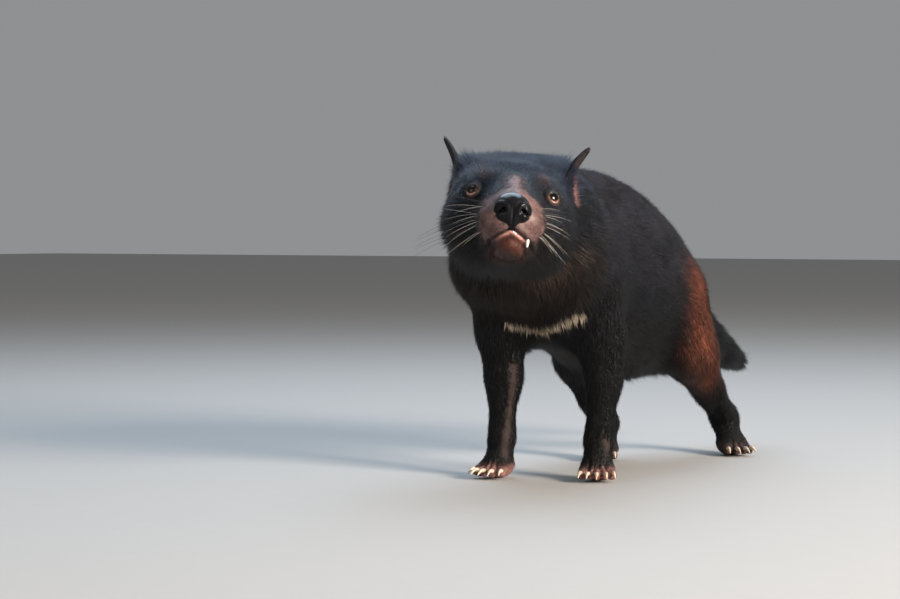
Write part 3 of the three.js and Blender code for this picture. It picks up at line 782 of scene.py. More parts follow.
        # Painted shadow: a black line in the parting of the lips.
        paint(bare * bell(gap, 0.9) * ramp(side, *self.mouth_side), c.nose)
        paint(ramp(share_of(region, Region.NOSE), 0.25, 0.5), c.nose)
        paint(self.ear_mask(points), c.ear)
        paint(self.strip_mask(points) * 0.9, c.forearm)
        for eye_side in Side:
            x, y, z = Eye(eye_side).local(HEAD.inside(points))
            ring = ramp(np.hypot(x, y), *self.lid_reach)
            paint(head * (z > 0.0) * ring * (0.08 + 0.6 * ramp(y, 2.5, -4.0)), c.lid)
        paint(share_of(region, Region.FOOT) * self.paw_mask(points) * 0.9, c.paw)
        paint(self.band_mask(points), c.cream)
        return mix


@dataclass(frozen=True)
class Patches:
    """Patches over a colour: what multiplies it, the noise, where that starts and ends to show, how much."""

    shade: Triple
    scale: float
    detail: float = 4.0
    low: float = 0.0
    high: float = 1.0
    amount: float = 1.0


NOISE_RANGE: Span = (0.3, 0.7)


class Mottle:
    """Shared effect: patches of a darker shade over a colour, laid out by noise."""

    NAME = "mottle"
    VALUES = ("Scale", "Detail", "Low", "High", "Amount")

    @classmethod
    def group(cls) -> bpy.types.NodeTree:
        """The node group, built when it is first asked for.

        Returns:
            The group.
        """
        if cls.NAME in bpy.data.node_groups:
            return bpy.data.node_groups[cls.NAME]
        tree = bpy.data.node_groups.new(cls.NAME, "ShaderNodeTree")
        tree.interface.new_socket("Place", in_out="INPUT", socket_type="NodeSocketVector")
        for name in ("Colour", "Shade"):
            tree.interface.new_socket(name, in_out="INPUT", socket_type="NodeSocketColor")
        for name in cls.VALUES:
            tree.interface.new_socket(name, in_out="INPUT", socket_type="NodeSocketFloat")
        tree.interface.new_socket("Colour", in_out="OUTPUT", socket_type="NodeSocketColor")
        tree.interface.new_socket("Noise", in_out="OUTPUT", socket_type="NodeSocketFloat")
        given = tree.nodes.new("NodeGroupInput").outputs
        made = tree.nodes.new("NodeGroupOutput").inputs
        noise = tree.nodes.new("ShaderNodeTexNoise")
        for name, socket in (("Place", "Vector"), ("Scale", "Scale"), ("Detail", "Detail")):
            tree.links.new(given[name], noise.inputs[socket])
        mask = tree.nodes.new("ShaderNodeMapRange")
        tree.links.new(noise.outputs["Fac"], mask.inputs["Value"])
        for name, socket in (("Low", "From Min"), ("High", "From Max"), ("Amount", "To Max")):
            tree.links.new(given[name], mask.inputs[socket])
        darker = tree.nodes.new("ShaderNodeMix")
        darker.data_type = "RGBA"
        darker.blend_type = "MULTIPLY"
        tree.links.new(mask.outputs["Result"], darker.inputs[0])
        tree.links.new(given["Colour"], darker.inputs[6])
        tree.links.new(given["Shade"], darker.inputs[7])
        tree.links.new(darker.outputs[2], made["Colour"])
        tree.links.new(noise.outputs["Fac"], made["Noise"])
        return tree


class Finish:
    """Small helpers to lay out the nodes of a material."""

    def __init__(self, name: str) -> None:
        """Starts an empty material.

        Args:
            name: its name.
        """
        self.material = bpy.data.materials.new(name)
        self.material.use_nodes = True
        self.tree = self.material.node_tree
        self.tree.nodes.clear()
        self.shader = self.tree.nodes.new("ShaderNodeBsdfPrincipled")
        output = self.tree.nodes.new("ShaderNodeOutputMaterial")
        self.tree.links.new(self.shader.outputs["BSDF"], output.inputs["Surface"])

    def node(self, kind: str, **settings: object) -> bpy.types.ShaderNode:
        """Adds a node.

        Args:
            kind: type of the node.
            settings: its properties.

        Returns:
            The node.
        """
        made = self.tree.nodes.new(kind)
        for key, value in settings.items():
            setattr(made, key, value)
        return made

    def link(self, source: Socket, target: Socket) -> None:
        """Joins two sockets."""
        self.tree.links.new(source, target)

    def attribute(self, name: str) -> bpy.types.ShaderNode:
        """A node that reads a stored attribute."""
        return self.node("ShaderNodeAttribute", attribute_name=name)

    def coordinates(self) -> Socket:
        """Object coordinates."""
        return self.node("ShaderNodeTexCoord").outputs["Object"]

    def noise(self, vector: Socket, scale: float, detail: float) -> Socket:
        """Noise at some places.

        Args:
            vector: the places.
            scale: its scale.
            detail: its detail.

        Returns:
            The socket of its value.
        """
        made = self.node("ShaderNodeTexNoise")
        made.inputs["Scale"].default_value = scale
        made.inputs["Detail"].default_value = detail
        self.link(vector, made.inputs["Vector"])
        return made.outputs["Fac"]

    def ranged(self, value: Socket, source: Span, target: Span) -> Socket:
        """A value mapped from one range to another.

        Args:
            value: the value.
            source: the range that it comes from.
            target: the range that it goes to.

        Returns:
            The socket of the mapped value.
        """
        made = self.node("ShaderNodeMapRange")
        for index, number in enumerate((*source, *target), start=1):
            made.inputs[index].default_value = number
        self.link(value, made.inputs[0])
        return made.outputs[0]

    def mixed(self, share: Socket | float, a: object, b: object,
              blend: str = "MIX") -> Socket:
        """Two colours mixed.

        Args:
            share: how much of the second one, a socket or a number.
            a: first colour, a socket or red, green and blue.
            b: second colour.
            blend: how they are mixed.

        Returns:
            The socket of the mix.
        """
        made = self.node("ShaderNodeMix", data_type="RGBA", blend_type=blend)
        for socket, value in ((made.inputs[0], share), (made.inputs[6], a), (made.inputs[7], b)):
            if isinstance(value, Socket):
                self.link(value, socket)
            elif isinstance(value, tuple):
                socket.default_value = (*value, 1.0)
            else:
                socket.default_value = value
        return made.outputs[2]

    def mottled(self, colour: object, patches: Patches) -> tuple[Socket, Socket]:
        """A colour with patches of a darker shade.

        Args:
            colour: a socket, or red, green and blue.
            patches: the patches.

        Returns:
            The sockets of the colour and of the noise.
        """
        made = self.node("ShaderNodeGroup", node_tree=Mottle.group())
        self.link(self.coordinates(), made.inputs["Place"])
        if isinstance(colour, Socket):
            self.link(colour, made.inputs["Colour"])
        else:
            made.inputs["Colour"].default_value = (*colour, 1.0)
        made.inputs["Shade"].default_value = (*patches.shade, 1.0)
        for name in Mottle.VALUES:
            made.inputs[name].default_value = getattr(patches, name.lower())
        return made.outputs["Colour"], made.outputs["Noise"]

    def bump(self, height: Socket, strength: float, distance: float,
             below: Socket | None = None) -> Socket:
        """A bump from a height.

        Args:
            height: the height.
            strength: how strong it shows.
            distance: its depth, in metres.
            below: normal of the surface that it lies on, if that has a bump of its own.

        Returns:
            The socket of the normal.
        """
        made = self.node("ShaderNodeBump")
        made.inputs["Strength"].default_value = strength
        made.inputs["Distance"].default_value = distance
        self.link(height, made.inputs["Height"])
        if below is not None:
            self.link(below, made.inputs["Normal"])
        return made.outputs["Normal"]

    def feed(self, **sources: Socket) -> None:
        """Joins sockets to the shader's inputs, named with underscores for spaces."""
        for key, source in sources.items():
            self.link(source, self.shader.inputs[key.replace("_", " ")])

    def set(self, **values: object) -> None:
        """Sets constant sockets of the shader, named with underscores for spaces."""
        for key, value in values.items():
            self.shader.inputs[key.replace("_", " ")].default_value = value


@dataclass(frozen=True)
class SkinFinish:
    """Skin under and between the hairs: dull where coated, creased and faintly moist where bare."""

    pore_scale: float = 620.0
    crease_scale: float = 150.0
    bare_roughness: float = 0.5
    coated_roughness: float = 0.8
    wet_roughness: float = 0.16
    blotches: Patches = Patches((0.42, 0.35, 0.36), scale=75.0, detail=6.0, low=0.35, high=0.65, amount=0.75)
    stubble: Patches = Patches((0.38, 0.32, 0.32), scale=420.0, detail=3.0, low=0.52, high=0.66, amount=0.7)

    def build(self) -> Material:
        """Makes the material.

        Returns:
            The material.
        """
        m = Finish("skin")
        place = m.coordinates()
        colour = m.attribute("coat_colour").outputs["Color"]
        bare = m.attribute("bare").outputs["Fac"]
        tone, _ = m.mottled(colour, self.blotches)
        tone, _ = m.mottled(tone, self.stubble)
        pores = m.node("ShaderNodeTexVoronoi", feature="SMOOTH_F1")
        pores.inputs["Scale"].default_value = self.pore_scale
        m.link(place, pores.inputs["Vector"])
        creases = m.noise(place, self.crease_scale, 6.0)
        first = m.bump(creases, strength=0.35, distance=0.0012)
        second = m.bump(pores.outputs["Distance"], strength=0.3, distance=0.0004, below=first)
        dry = m.ranged(bare, (0.0, 1.0), (self.coated_roughness, self.bare_roughness))
        wet = m.node("ShaderNodeMix", data_type="FLOAT")
        m.link(m.attribute("wet").outputs["Fac"], wet.inputs[0])
        m.link(dry, wet.inputs[2])
        wet.inputs[3].default_value = self.wet_roughness
        m.feed(Base_Color=tone, Normal=second, Roughness=wet.outputs[0])
        m.set(Subsurface_Weight=0.05, Subsurface_Scale=0.003, Specular_IOR_Level=0.35)
        return m.material


@dataclass(frozen=True)
class CoatFinish:
    """Glossy guard hairs: the stored colour, a little darker at the root and paler along the tip."""

    roughness: Span = (0.40, 0.57)
    strands: Patches = Patches((0.55, 0.55, 0.6), scale=900.0, detail=2.0, low=0.35, high=0.65, amount=0.5)
    tip_gain: float = 1.4
    root_gain: float = 0.45

    def build(self) -> Material:
        """Makes the material.

        Returns:
            The material.
        """
        m = Finish("coat")
        colour = m.attribute("coat_colour").outputs["Color"]
        along = m.attribute("along").outputs["Fac"]
        dark = m.mixed(1.0, colour, (self.root_gain,) * 3, "MULTIPLY")
        bright = m.mixed(1.0, colour, (self.tip_gain,) * 3, "MULTIPLY")
        tone = m.mixed(along, dark, bright)
        tone, strand = m.mottled(tone, self.strands)
        m.feed(Base_Color=tone, Roughness=m.ranged(strand, NOISE_RANGE, self.roughness))
        m.set(Specular_IOR_Level=0.37)
        return m.material


@dataclass(frozen=True)
class CoatStyle:
    """Look of the tufts of one region.

    Length, width and clump are in millimetres, lift is in degrees off the skin, density is in tufts per
    square millimetre, and depth is how far the skin lies inside the coat's tips.
    """

    length: float
    width: float
    lift: float
    density: float
    depth: float
    clump: float


STYLES: dict[Region, CoatStyle] = {
    Region.HEAD: CoatStyle(10.5, 0.60, 17.0, 1.60, 2.2, 4.0),
    Region.NECK: CoatStyle(15.5, 0.62, 20.0, 1.55, 3.2, 7.0),
    Region.TORSO: CoatStyle(15.0, 0.66, 15.0, 1.08, 3.0, 7.5),
    Region.TAIL: CoatStyle(17.0, 0.72, 19.0, 1.20, 3.6, 7.0),
    Region.FORELEG: CoatStyle(9.0, 0.70, 14.0, 0.92, 1.9, 5.0),
    Region.HINDLEG: CoatStyle(10.5, 0.72, 14.0, 0.90, 2.2, 5.5),
    Region.FOOT: CoatStyle(5.0, 0.55, 12.0, 1.05, 0.6, 3.5),
    Region.NOSE: CoatStyle(2.0, 0.40, 10.0, 0.0, 1.0, 3.0),
}


def style_values(name: str) -> Points:
    """One field of all styles, in the order of the regions."""
    return np.array([getattr(STYLES[region], name) for region in Region])


@dataclass(frozen=True)
class FaceForm:
    """A soft swelling or hollow on both sides of the face.

    Place and spread are millimetres ahead, aside and above in the head's axes. The heights of the left
    and the right one are in millimetres off the skin.
    """

    place: Triple
    spread: Triple
    left: float
    right: float

    def height(self, local: Points) -> Points:
        """Its height at some points.

        Args:
            local: the points in the head's axes.

        Returns:
            Heights in millimetres.
        """
        away = np.column_stack([local[:, 0], np.abs(local[:, 1]), local[:, 2]]) - np.array(self.place)
        share = bell(np.linalg.norm(away / np.array(self.spread), axis=1), 1.0)
        return np.where(local[:, 1] > 0.0, self.left, self.right) * share


@dataclass(frozen=True)
class LipForm:
    """A ridge or groove beside the mouth: its height, place above the mouth, width, and fade aside."""

    height: float
    above: float
    width: float
    fade: Span


@dataclass
class Skin:
    """The one skin of the body, with its face, mouth and toes."""

    voxel: float = 2.6 * MM
    swell: float = 0.35 * MM
    mouth_depth: float = 2.4
    mouth_width: float = 1.1
    lips: tuple[LipForm, ...] = (
        LipForm(1.7, 3.6, 2.4, (1.0, 7.0)),
        LipForm(0.9, -2.8, 1.5, (20.0, 12.0)),
        LipForm(-1.5, -7.5, 2.6, (22.0, 12.0)))
    whisker_pad: FaceForm = FaceForm((84.0, 19.0, -36.0), (11.0, 8.0, 8.0), 1.6, 1.6)
    brow: FaceForm = FaceForm((46.0, 26.0, 12.0), (7.0, 9.0, 5.0), 1.2, 1.2)
    below_eye: FaceForm = FaceForm((62.0, 27.0, -14.0), (6.0, 6.0, 6.0), -1.2, -1.2)
    crown_corner: FaceForm = FaceForm((0.0, 46.0, 38.0), (12.0, 12.0, 12.0), 1.5, 10.0)
    toe_swell: float = 1.1
    toe_width: float = 3.6
    groove_depth: float = 2.6
    groove_width: float = 1.25
    groove_height: float = 9.0
    groove_reach: Span = (-15.0, -4.0)

    def build(self, markings: Markings) -> Surface:
        """Makes the skin and its attributes.

        Args:
            markings: the colours of coat and skin.

        Returns:
            The finished surface.
        """
        nodes = sorted(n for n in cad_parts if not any(k in n for k in ("claw", "ear_", "canine")))
        mesh = remeshed("skin", nodes, self.swell, self.voxel)
        body = Surface(mesh)
        weights = self.region_weights(body, nodes)
        strength = weights @ np.array([0.10, 0.50, 0.80, 0.30, 0.20, 0.20, 0.03, 0.10])
        behind = share_of(weights, Region.HEAD) * ramp(HEAD.inside(body.points)[:, 0], 44.0, 24.0)
        body.relax(45, strength + 0.45 * body.diffuse(behind, 8))
        crease = share_of(weights, Region.HEAD) * share_of(weights, Region.NECK) * 4.0
        body.relax(60, 0.9 * body.diffuse(crease, 10))
        depth = weights @ style_values("depth")
        bare = markings.bare_mask(body.points) * share_of(weights, Region.HEAD)
        face = share_of(weights, Region.HEAD) * ramp(HEAD.inside(body.points)[:, 0], 15.0, 60.0)
        depth = depth * (1.0 - 0.8 * bare) * (1.0 - 0.45 * face)
        body.points -= body.normals() * (body.diffuse(depth, 6) * MM)[:, None]
        body.write()
        body = self.refined(body)
        self.weights = self.region_weights(body, nodes)
        self.sculpt(body)
        body.write()
        markings.locate(body.tree())
        self.dress(body, markings, nodes)
        return body

    def region_weights(self, body: Surface, nodes: list[str]) -> Points:
        """Share of each region at each vertex, blurred over their borders.

        Args:
            body: the skin.
            nodes: the nodes that it was fused from.

        Returns:
            One row per vertex, one column per region.
        """
        points, faces, owner = joined_nodes(nodes, 0.0)
        tree = BVHTree.FromPolygons(points.tolist(), faces.tolist())
        nearest = [tree.find_nearest(Vector(point))[2] for point in body.points]
        region = np.array([region_of(node).value for node in nodes])
        close = body.diffuse(np.eye(len(Region))[region[owner[nearest]]], 14)
        wide = body.diffuse(close, 60)
        behind = ramp(HEAD.inside(body.points)[:, 0], 40.0, 15.0)
        return close + (wide - close) * behind[:, None]

    def refined(self, body: Surface) -> Surface:
        """The skin with finer faces on the front of the head and on the feet.

        Args:
            body: the skin.

        Returns:
            The finer skin.
        """
        bm = bmesh.new()
        bm.from_mesh(body.mesh)
        bm.verts.ensure_lookup_table()
        fine = (HEAD.inside(body.points)[:, 0] > 42.0) | (body.points[:, 2] < 0.026)
        edges = [e for e in bm.edges if fine[e.verts[0].index] and fine[e.verts[1].index]]
        bmesh.ops.subdivide_edges(bm, edges=edges, cuts=1, use_grid_fill=True)
        bm.to_mesh(body.mesh)
        bm.free()
        finer = Surface(body.mesh)
        finer.relax(2, np.where(HEAD.inside(finer.points)[:, 0] > 30.0, 0.5, 0.15))
        return finer

    def sculpt(self, body: Surface) -> None:
        """Shapes the face: sockets, lids, muzzle, lips and chin.

        Args:
            body: the skin, whose points are moved.
        """
        head = np.clip(share_of(self.weights, Region.HEAD, Region.NOSE), 0.0, 1.0)
        muzzle = head * ramp(HEAD.inside(body.points)[:, 0], 58.0, 72.0)
        flat = Surface(body.mesh)
        flat.points = body.points
        flat.relax(10, 0.5 * muzzle)
        local = HEAD.inside(body.points)
        f, l, u = local.T
        side = np.abs(l)
        normal = body.normals() @ HEAD.basis().T
        push = np.zeros(len(local))
        gap = u - lip_line(f, l)
        reach = head * ramp(f, 56.0, 66.0)
        push -= self.mouth_depth * reach * bell(gap, self.mouth_width)
        for lip in self.lips:
            push += lip.height * reach * bell(gap - lip.above, lip.width) * ramp(side, *lip.fade)
        push -= 5.5 * head * ramp(f, 62.0, 72.0) * ramp(gap, -3.0, -10.0) * ramp(side, 12.0, 22.0)
        push -= 2.2 * ramp(share_of(self.weights, Region.NOSE), 0.2, 0.6)
        for form in (self.whisker_pad, self.brow, self.below_eye, self.crown_corner):
            push += head * form.height(local)
        wrinkle = head * ramp(f, 66.0, 80.0) * ramp(f, 104.0, 92.0) * ramp(u, -34.0, -20.0)
        push += 0.25 * wrinkle * np.sin(f * 1.7 + 0.25 * side)
        local = local + normal * push[:, None]
        for eye_side in Side:
            local = self.socket(local, Eye(eye_side), head)
        body.points = HEAD.outside(local)
        self.toes(body)

    def toes(self, body: Surface) -> None:
        """Rounds the toes behind the claws and parts them with grooves.

        Args:
            body: the skin, whose points are moved.
        """
        foot = share_of(self.weights, Region.FOOT)
        push = np.zeros(len(body.points))
        for leg in LEGS:
            claws = [merged_node(node, 0.0)[0] for node in claws_of(leg)]
            middle = middle_of(f"{leg}_foot")
            roots = []
            for claw in claws:
                away = np.linalg.norm(claw - middle, axis=1)
                roots.append(claw[away < np.quantile(away, 0.4)].mean(axis=0))
            for root in roots:
                away = np.linalg.norm(body.points - root, axis=1) / MM
                push += self.toe_swell * bell(away, self.toe_width)
            for a, b in zip(roots[:-1], roots[1:]):
                across = unit((b - a) * np.array([1.0, 1.0, 0.0]))
                ahead = np.array([across[1], -across[0], 0.0])
                ahead *= np.sign(ahead @ ((a + b) / 2.0 - middle))
                off = (body.points - (a + b) / 2.0) / MM
                groove = bell(off @ across, self.groove_width) * ramp(off @ ahead, *self.groove_reach)
                push -= self.groove_depth * groove * bell(off[:, 2], self.groove_height)
        body.points += body.normals() * (push * np.clip(foot * 1.6, 0.0, 1.0) * MM)[:, None]

    @staticmethod
    def socket(local: Points, eye: "Eye", head: Points) -> Points:
        """Wraps the skin round one eyeball and opens it there.

        Args:
            local: the points in the head's axes.
            eye: the eye.
            head: share of the head at each point.

        Returns:
            The moved points.
        """
        x, y, z = eye.local(local)
        around = np.hypot(x, y)
        angle = np.arctan2(y, x)
        opening = eye.opening(angle)
        lid = np.sqrt(np.maximum((eye.radius + 1.5) ** 2 - around ** 2, 0.0))
        behind = np.sqrt(np.maximum((eye.radius - 2.5) ** 2 - around ** 2, 0.0)) - 1.0
        near = ramp(around - opening, 7.0, 2.2) * head * (z > -3.0)
        height = z + (lid - z) * near
        inner = (around < opening) & (z > -3.0) & (head > 0.5)
        height = np.where(inner, behind, height)
        return eye.outside(x, y, height)

    def dress(self, body: Surface, markings: Markings, nodes: list[str]) -> None:
        """Stores the attributes and puts the skin in the scene.

        Args:
            body: the skin.
            markings: the colours.
            nodes: the nodes that it stands for.
        """
        colour = markings.colour(body.points, self.weights)
        # Painted shade: skin under the coat is made half as bright, for the shade of the hair over it; the
        # bare muzzle, ear strip and toes keep their colour.
        free_of_coat_shade = np.maximum(markings.bare_mask(body.points), markings.ear_mask(body.points))
        free_of_coat_shade = np.maximum(free_of_coat_shade, markings.paw_mask(body.points))
        colour *= (0.5 + 0.5 * free_of_coat_shade)[:, None]
        head = share_of(self.weights, Region.HEAD, Region.NOSE)
        self.bare = markings.bare_mask(body.points) * head
        store_colour(body.mesh, "coat_colour", colour)
        store_value(body.mesh, "bare", self.bare)
        f, l, u = HEAD.inside(body.points).T
        gap = u - lip_line(f, l)
        wet = self.bare * ramp(gap, -4.6, -3.2) * ramp(gap, 0.8, -0.4) * ramp(np.abs(l), 18.0, 10.0)
        store_value(body.mesh, "wet", wet)
        replaced = [n for n in nodes if not n.startswith("eye_") and n != "nose_pad"]
        new_piece("skin", body.mesh, SkinFinish().build(), replaced)


@dataclass(frozen=True)
class Eye:
    """One eye's own axes, in millimetres in the head's axes: across, up and out of the head."""

    side: Side
    ahead: float = 52.3
    aside: float = 35.1
    above: float = -3.8
    gaze: Triple = (0.84, 0.5, 0.2)
    radius: float = 8.2
    half_width: float = 5.2
    half_height: float = 4.8

    def basis(self) -> Points:
        """The eye's axes.

        Returns:
            Rows across, up and out, in the head's axes.
        """
        ahead, aside, above = self.gaze
        out = unit(np.array([ahead, self.side.value * aside, above]))
        across = unit(np.cross(np.array([0.0, 0.0, 1.0]), out))
        return np.array([across, np.cross(out, across), out])

    def centre(self) -> Points:
        """Middle of the eyeball, in the head's axes."""
        return np.array([self.ahead, self.side.value * self.aside, self.above])

    def local(self, points: Points) -> tuple[Points, Points, Points]:
        """Points of the head's axes in the eye's own."""
        x, y, z = ((points - self.centre()) @ self.basis().T).T
        return x, y, z

    def outside(self, x: Points, y: Points, z: Points) -> Points:
        """Points of the eye's axes in the head's own."""
        return self.centre() + np.column_stack([x, y, z]) @ self.basis()

    def opening(self, angle: Points) -> Points:
        """Distance from the axis to the edge of the lids, by the angle round it."""
        high = self.half_height * np.where(np.sin(angle) > 0.0, 0.86, 1.0)
        return 1.0 / np.sqrt((np.cos(angle) / self.half_width) ** 2 + (np.sin(angle) / high) ** 2)

    def build(self) -> None:
        """Makes the eyeball and the rims of its lids."""
        bm = bmesh.new()
        bmesh.ops.create_uvsphere(bm, u_segments=48, v_segments=32, radius=self.radius)
        mesh = mesh_from(bm, f"eyeball_{self.side.word}")
        ball = Surface(mesh)
        polar = np.arccos(np.clip(ball.points[:, 2] / self.radius, -1.0, 1.0))
        swell = 1.0 + 0.07 * ramp(polar, math.radians(42.0), math.radians(20.0))
        # low is 0 on the top of the eyeball and 1 below it; the finish paints the upper lid's shadow over the
        # top.
        low = ramp(ball.points[:, 1], 2.6, -3.2)
        ball.points = HEAD.outside(self.outside(*(ball.points * swell[:, None]).T))
        ball.write()
        store_value(mesh, "gaze", np.degrees(polar) / 90.0)
        store_value(mesh, "low", low)
        finish = EyeFinish().build(self.side.word)
        new_piece(f"eyeball_{self.side.word}", mesh, finish, [f"eye_{self.side.word}"])
        self.build_rim()

    def build_rim(self) -> None:
        """Makes the wet rim of skin along the edge of both lids."""
        steps, sides = 48, 8
        bm = bmesh.new()
        rings = []
        for i in range(steps):
            angle = 2.0 * math.pi * i / steps
            reach = float(self.opening(np.array([angle]))[0]) + 0.55
            rise = math.sqrt(max((self.radius + 0.55) ** 2 - reach ** 2, 0.0))
            corner = abs(math.cos(angle)) ** 6
            thick = 0.8 + 0.3 * max(0.0, -math.sin(angle)) - 0.2 * corner
            ring = []
            for k in range(sides):
                turn = 2.0 * math.pi * k / sides
                out = reach + thick * math.cos(turn)
                place = self.outside(np.array([out * math.cos(angle)]), np.array([out * math.sin(angle)]),
                                     np.array([rise + thick * math.sin(turn)]))
                ring.append(bm.verts.new(HEAD.outside(place)[0]))
            rings.append(ring)
        for i, ring in enumerate(rings):
            following = rings[(i + 1) % steps]
            for k in range(sides):
                other = (k + 1) % sides
                bm.faces.new((ring[k], following[k], following[other], ring[other]))
        bmesh.ops.recalc_face_normals(bm, faces=bm.faces)
        mesh = mesh_from(bm, f"eyelid_rim_{self.side.word}")
        angles = np.repeat(np.arange(steps) * 2.0 * math.pi / steps, sides)
        store_value(mesh, "low", 0.5 - 0.5 * np.sin(angles))
        new_piece(f"eyelid_rim_{self.side.word}", mesh, LidFinish().build(self.side.word))


@dataclass(frozen=True)
class EyeFinish:
    """Wet dark eye: black pupil, amber-brown iris with radial fibres and a dark ring, brownish white, and the
    upper lid's shadow painted over its top.
    """

    pupil: float = 0.30
    iris: float = 0.54
    fibre_scale: float = 1800.0
    fibre_reach: float = 0.05
    # Colour that paints the upper lid's shadow on the top of the eyeball.
    under_lid: Triple = (0.22, 0.17, 0.14)

    def build(self, side: str) -> Material:
        """Makes the material of one eye.

        Args:
            side: side of the head, in words.

        Returns:
            The material.
        """
        m = Finish(f"eyeball_{side}")
        gaze = m.attribute("gaze").outputs["Fac"]
        fibres = m.noise(m.coordinates(), self.fibre_scale, 3.0)
        shifted = m.node("ShaderNodeMath", operation="MULTIPLY_ADD")
        m.link(fibres, shifted.inputs[0])
        shifted.inputs[1].default_value = self.fibre_reach
        m.link(gaze, shifted.inputs[2])
        rings = m.node("ShaderNodeValToRGB")
        stops = ((0.0, (0.002, 0.002, 0.002)), (self.pupil, (0.003, 0.002, 0.002)),
                 (self.pupil + 0.03, (0.030, 0.012, 0.004)), (0.39, (0.110, 0.045, 0.012)),
                 (self.iris - 0.07, (0.240, 0.105, 0.028)), (self.iris + 0.01, (0.008, 0.006, 0.005)),
                 (self.iris + 0.16, (0.10, 0.06, 0.05)))
        ramp_stops = rings.color_ramp.elements
        while len(ramp_stops) < len(stops):
            ramp_stops.new(1.0)
        for stop, (place, colour) in zip(ramp_stops, stops):
            stop.position = place
            stop.color = (*colour, 1.0)
        m.link(shifted.outputs[0], rings.inputs["Fac"])
        # Painted shadow of the upper lid: the top of the eyeball is multiplied by a brownish grey.
        lid_shadowed = m.mixed(1.0, rings.outputs["Color"], self.under_lid, "MULTIPLY")
        tone = m.mixed(m.attribute("low").outputs["Fac"], lid_shadowed, rings.outputs["Color"])
        m.feed(Base_Color=tone, Normal=m.bump(fibres, strength=0.03, distance=0.0002))
        m.set(Roughness=0.4, Coat_Weight=0.7, Coat_Roughness=0.02, Specular_IOR_Level=0.0)
        return m.material


@dataclass(frozen=True)
class LidFinish:
    """Moist rim of the lids: nearly black above, pinkish cream below."""

    dark: Triple = (0.012, 0.009, 0.009)
    pale: Triple = (0.32, 0.185, 0.145)
    pale_from: Span = (0.42, 0.85)
    blotches: Patches = Patches((0.5, 0.4, 0.38), scale=700.0, detail=4.0, low=0.4, high=0.7, amount=0.6)

    def build(self, side: str) -> Material:
        """Makes the material of one eye's rims.

        Args:
            side: side of the head, in words.

        Returns:
            The material.
        """
        m = Finish(f"eyelid_rim_{side}")
        low = m.attribute("low").outputs["Fac"]
        tone = m.mixed(m.ranged(low, self.pale_from, (0.0, 1.0)), self.dark, self.pale)
        tone, blotch = m.mottled(tone, self.blotches)
        m.feed(Base_Color=tone, Normal=m.bump(blotch, strength=0.3, distance=0.0003))
        m.set(Roughness=0.34, Coat_Weight=0.35, Coat_Roughness=0.15)
        m.set(Subsurface_Weight=0.08, Subsurface_Scale=0.002)
        return m.material


@dataclass(frozen=True)
class NoseFinish:
    """Moist black nose leather with fine pebbles."""

    leather: Triple = (0.006, 0.006, 0.008)
    wear: Patches = Patches((0.45, 0.45, 0.42), scale=120.0, detail=5.0)
    pebble_scale: float = 900.0
    roughness: Span = (0.3, 0.44)
    damp: Span = (0.16, 1.0)

    def build(self) -> Material:
        """Makes the material.

        Returns:
            The material.
        """
        m = Finish("nose_leather")
        place = m.coordinates()
        pebbles = m.node("ShaderNodeTexVoronoi", feature="F1")
        pebbles.inputs["Scale"].default_value = self.pebble_scale
        m.link(place, pebbles.inputs["Vector"])
        tone, worn = m.mottled(self.leather, self.wear)
        soft = m.bump(worn, strength=0.25, distance=0.0008)
        grain = m.bump(pebbles.outputs["Distance"], strength=0.28, distance=0.0003, below=soft)
        gloss = m.ranged(m.attribute("damp").outputs["Fac"], (0.0, 1.0), self.damp)
        m.feed(Base_Color=tone, Normal=grain, Coat_Weight=gloss)
        m.feed(Roughness=m.ranged(worn, NOISE_RANGE, self.roughness))
        m.set(Coat_Roughness=0.2, Specular_IOR_Level=0.05)
        return m.material


@dataclass
class Nose:
    """The nose leather with its nostrils and the groove below them."""

    voxel: float = 0.75 * MM

    def build(self) -> None:
        """Makes the nose."""
        mesh = remeshed("nose", ["nose_pad"], 0.25 * MM, self.voxel)
        pad = Surface(mesh)
        pad.relax(14, 0.6)
        local = HEAD.inside(pad.points)
        f, l, u = local.T
        normal = pad.normals() @ HEAD.basis().T
        side = np.abs(l)
        push = -1.0 * bell(side, 0.8) * ramp(f, 106.0, 110.0) * ramp(u, -26.0, -31.0)
        wing = bell(np.hypot(side - 11.0, u + 30.0) - 5.6, 1.2) * ramp(f, 102.0, 108.0)
        slit = np.hypot(np.maximum(np.abs(side - 12.2) - 2.6, 0.0), u + 31.0 + 0.5 * (side - 9.5))
        push += 0.9 * wing + 0.7 - 2.0 * bell(slit, 1.0) * ramp(f, 98.0, 102.0)
        local = local + normal * push[:, None]
        local[:, 2] -= 2.5 * ramp(u, -34.0, -45.0)
        pad.points = HEAD.outside(local)
        pad.write()
        store_value(mesh, "damp", ramp(normal[:, 2], -0.1, 0.6))
        new_piece("nose", mesh, NoseFinish().build(), ["nose_pad"])


@dataclass(frozen=True)
class HornFinish:
    """Worn horn of the claws, cream with browner streaks."""

    horn: Triple = (0.62, 0.54, 0.43)
    streaks: Patches = Patches((0.55, 0.46, 0.40), scale=420.0, detail=5.0, low=0.3, high=0.7)
    roughness: Span = (0.28, 0.45)

    def build(self) -> Material:
        """Makes the material.

        Returns:
            The material.
        """
        m = Finish("claw_horn")
        tone, streak = m.mottled(self.horn, self.streaks)
        m.feed(Base_Color=tone, Normal=m.bump(streak, strength=0.3, distance=0.0003))
        m.feed(Roughness=m.ranged(streak, NOISE_RANGE, self.roughness))
        m.set(Subsurface_Weight=0.1, Subsurface_Scale=0.003)
        return m.material


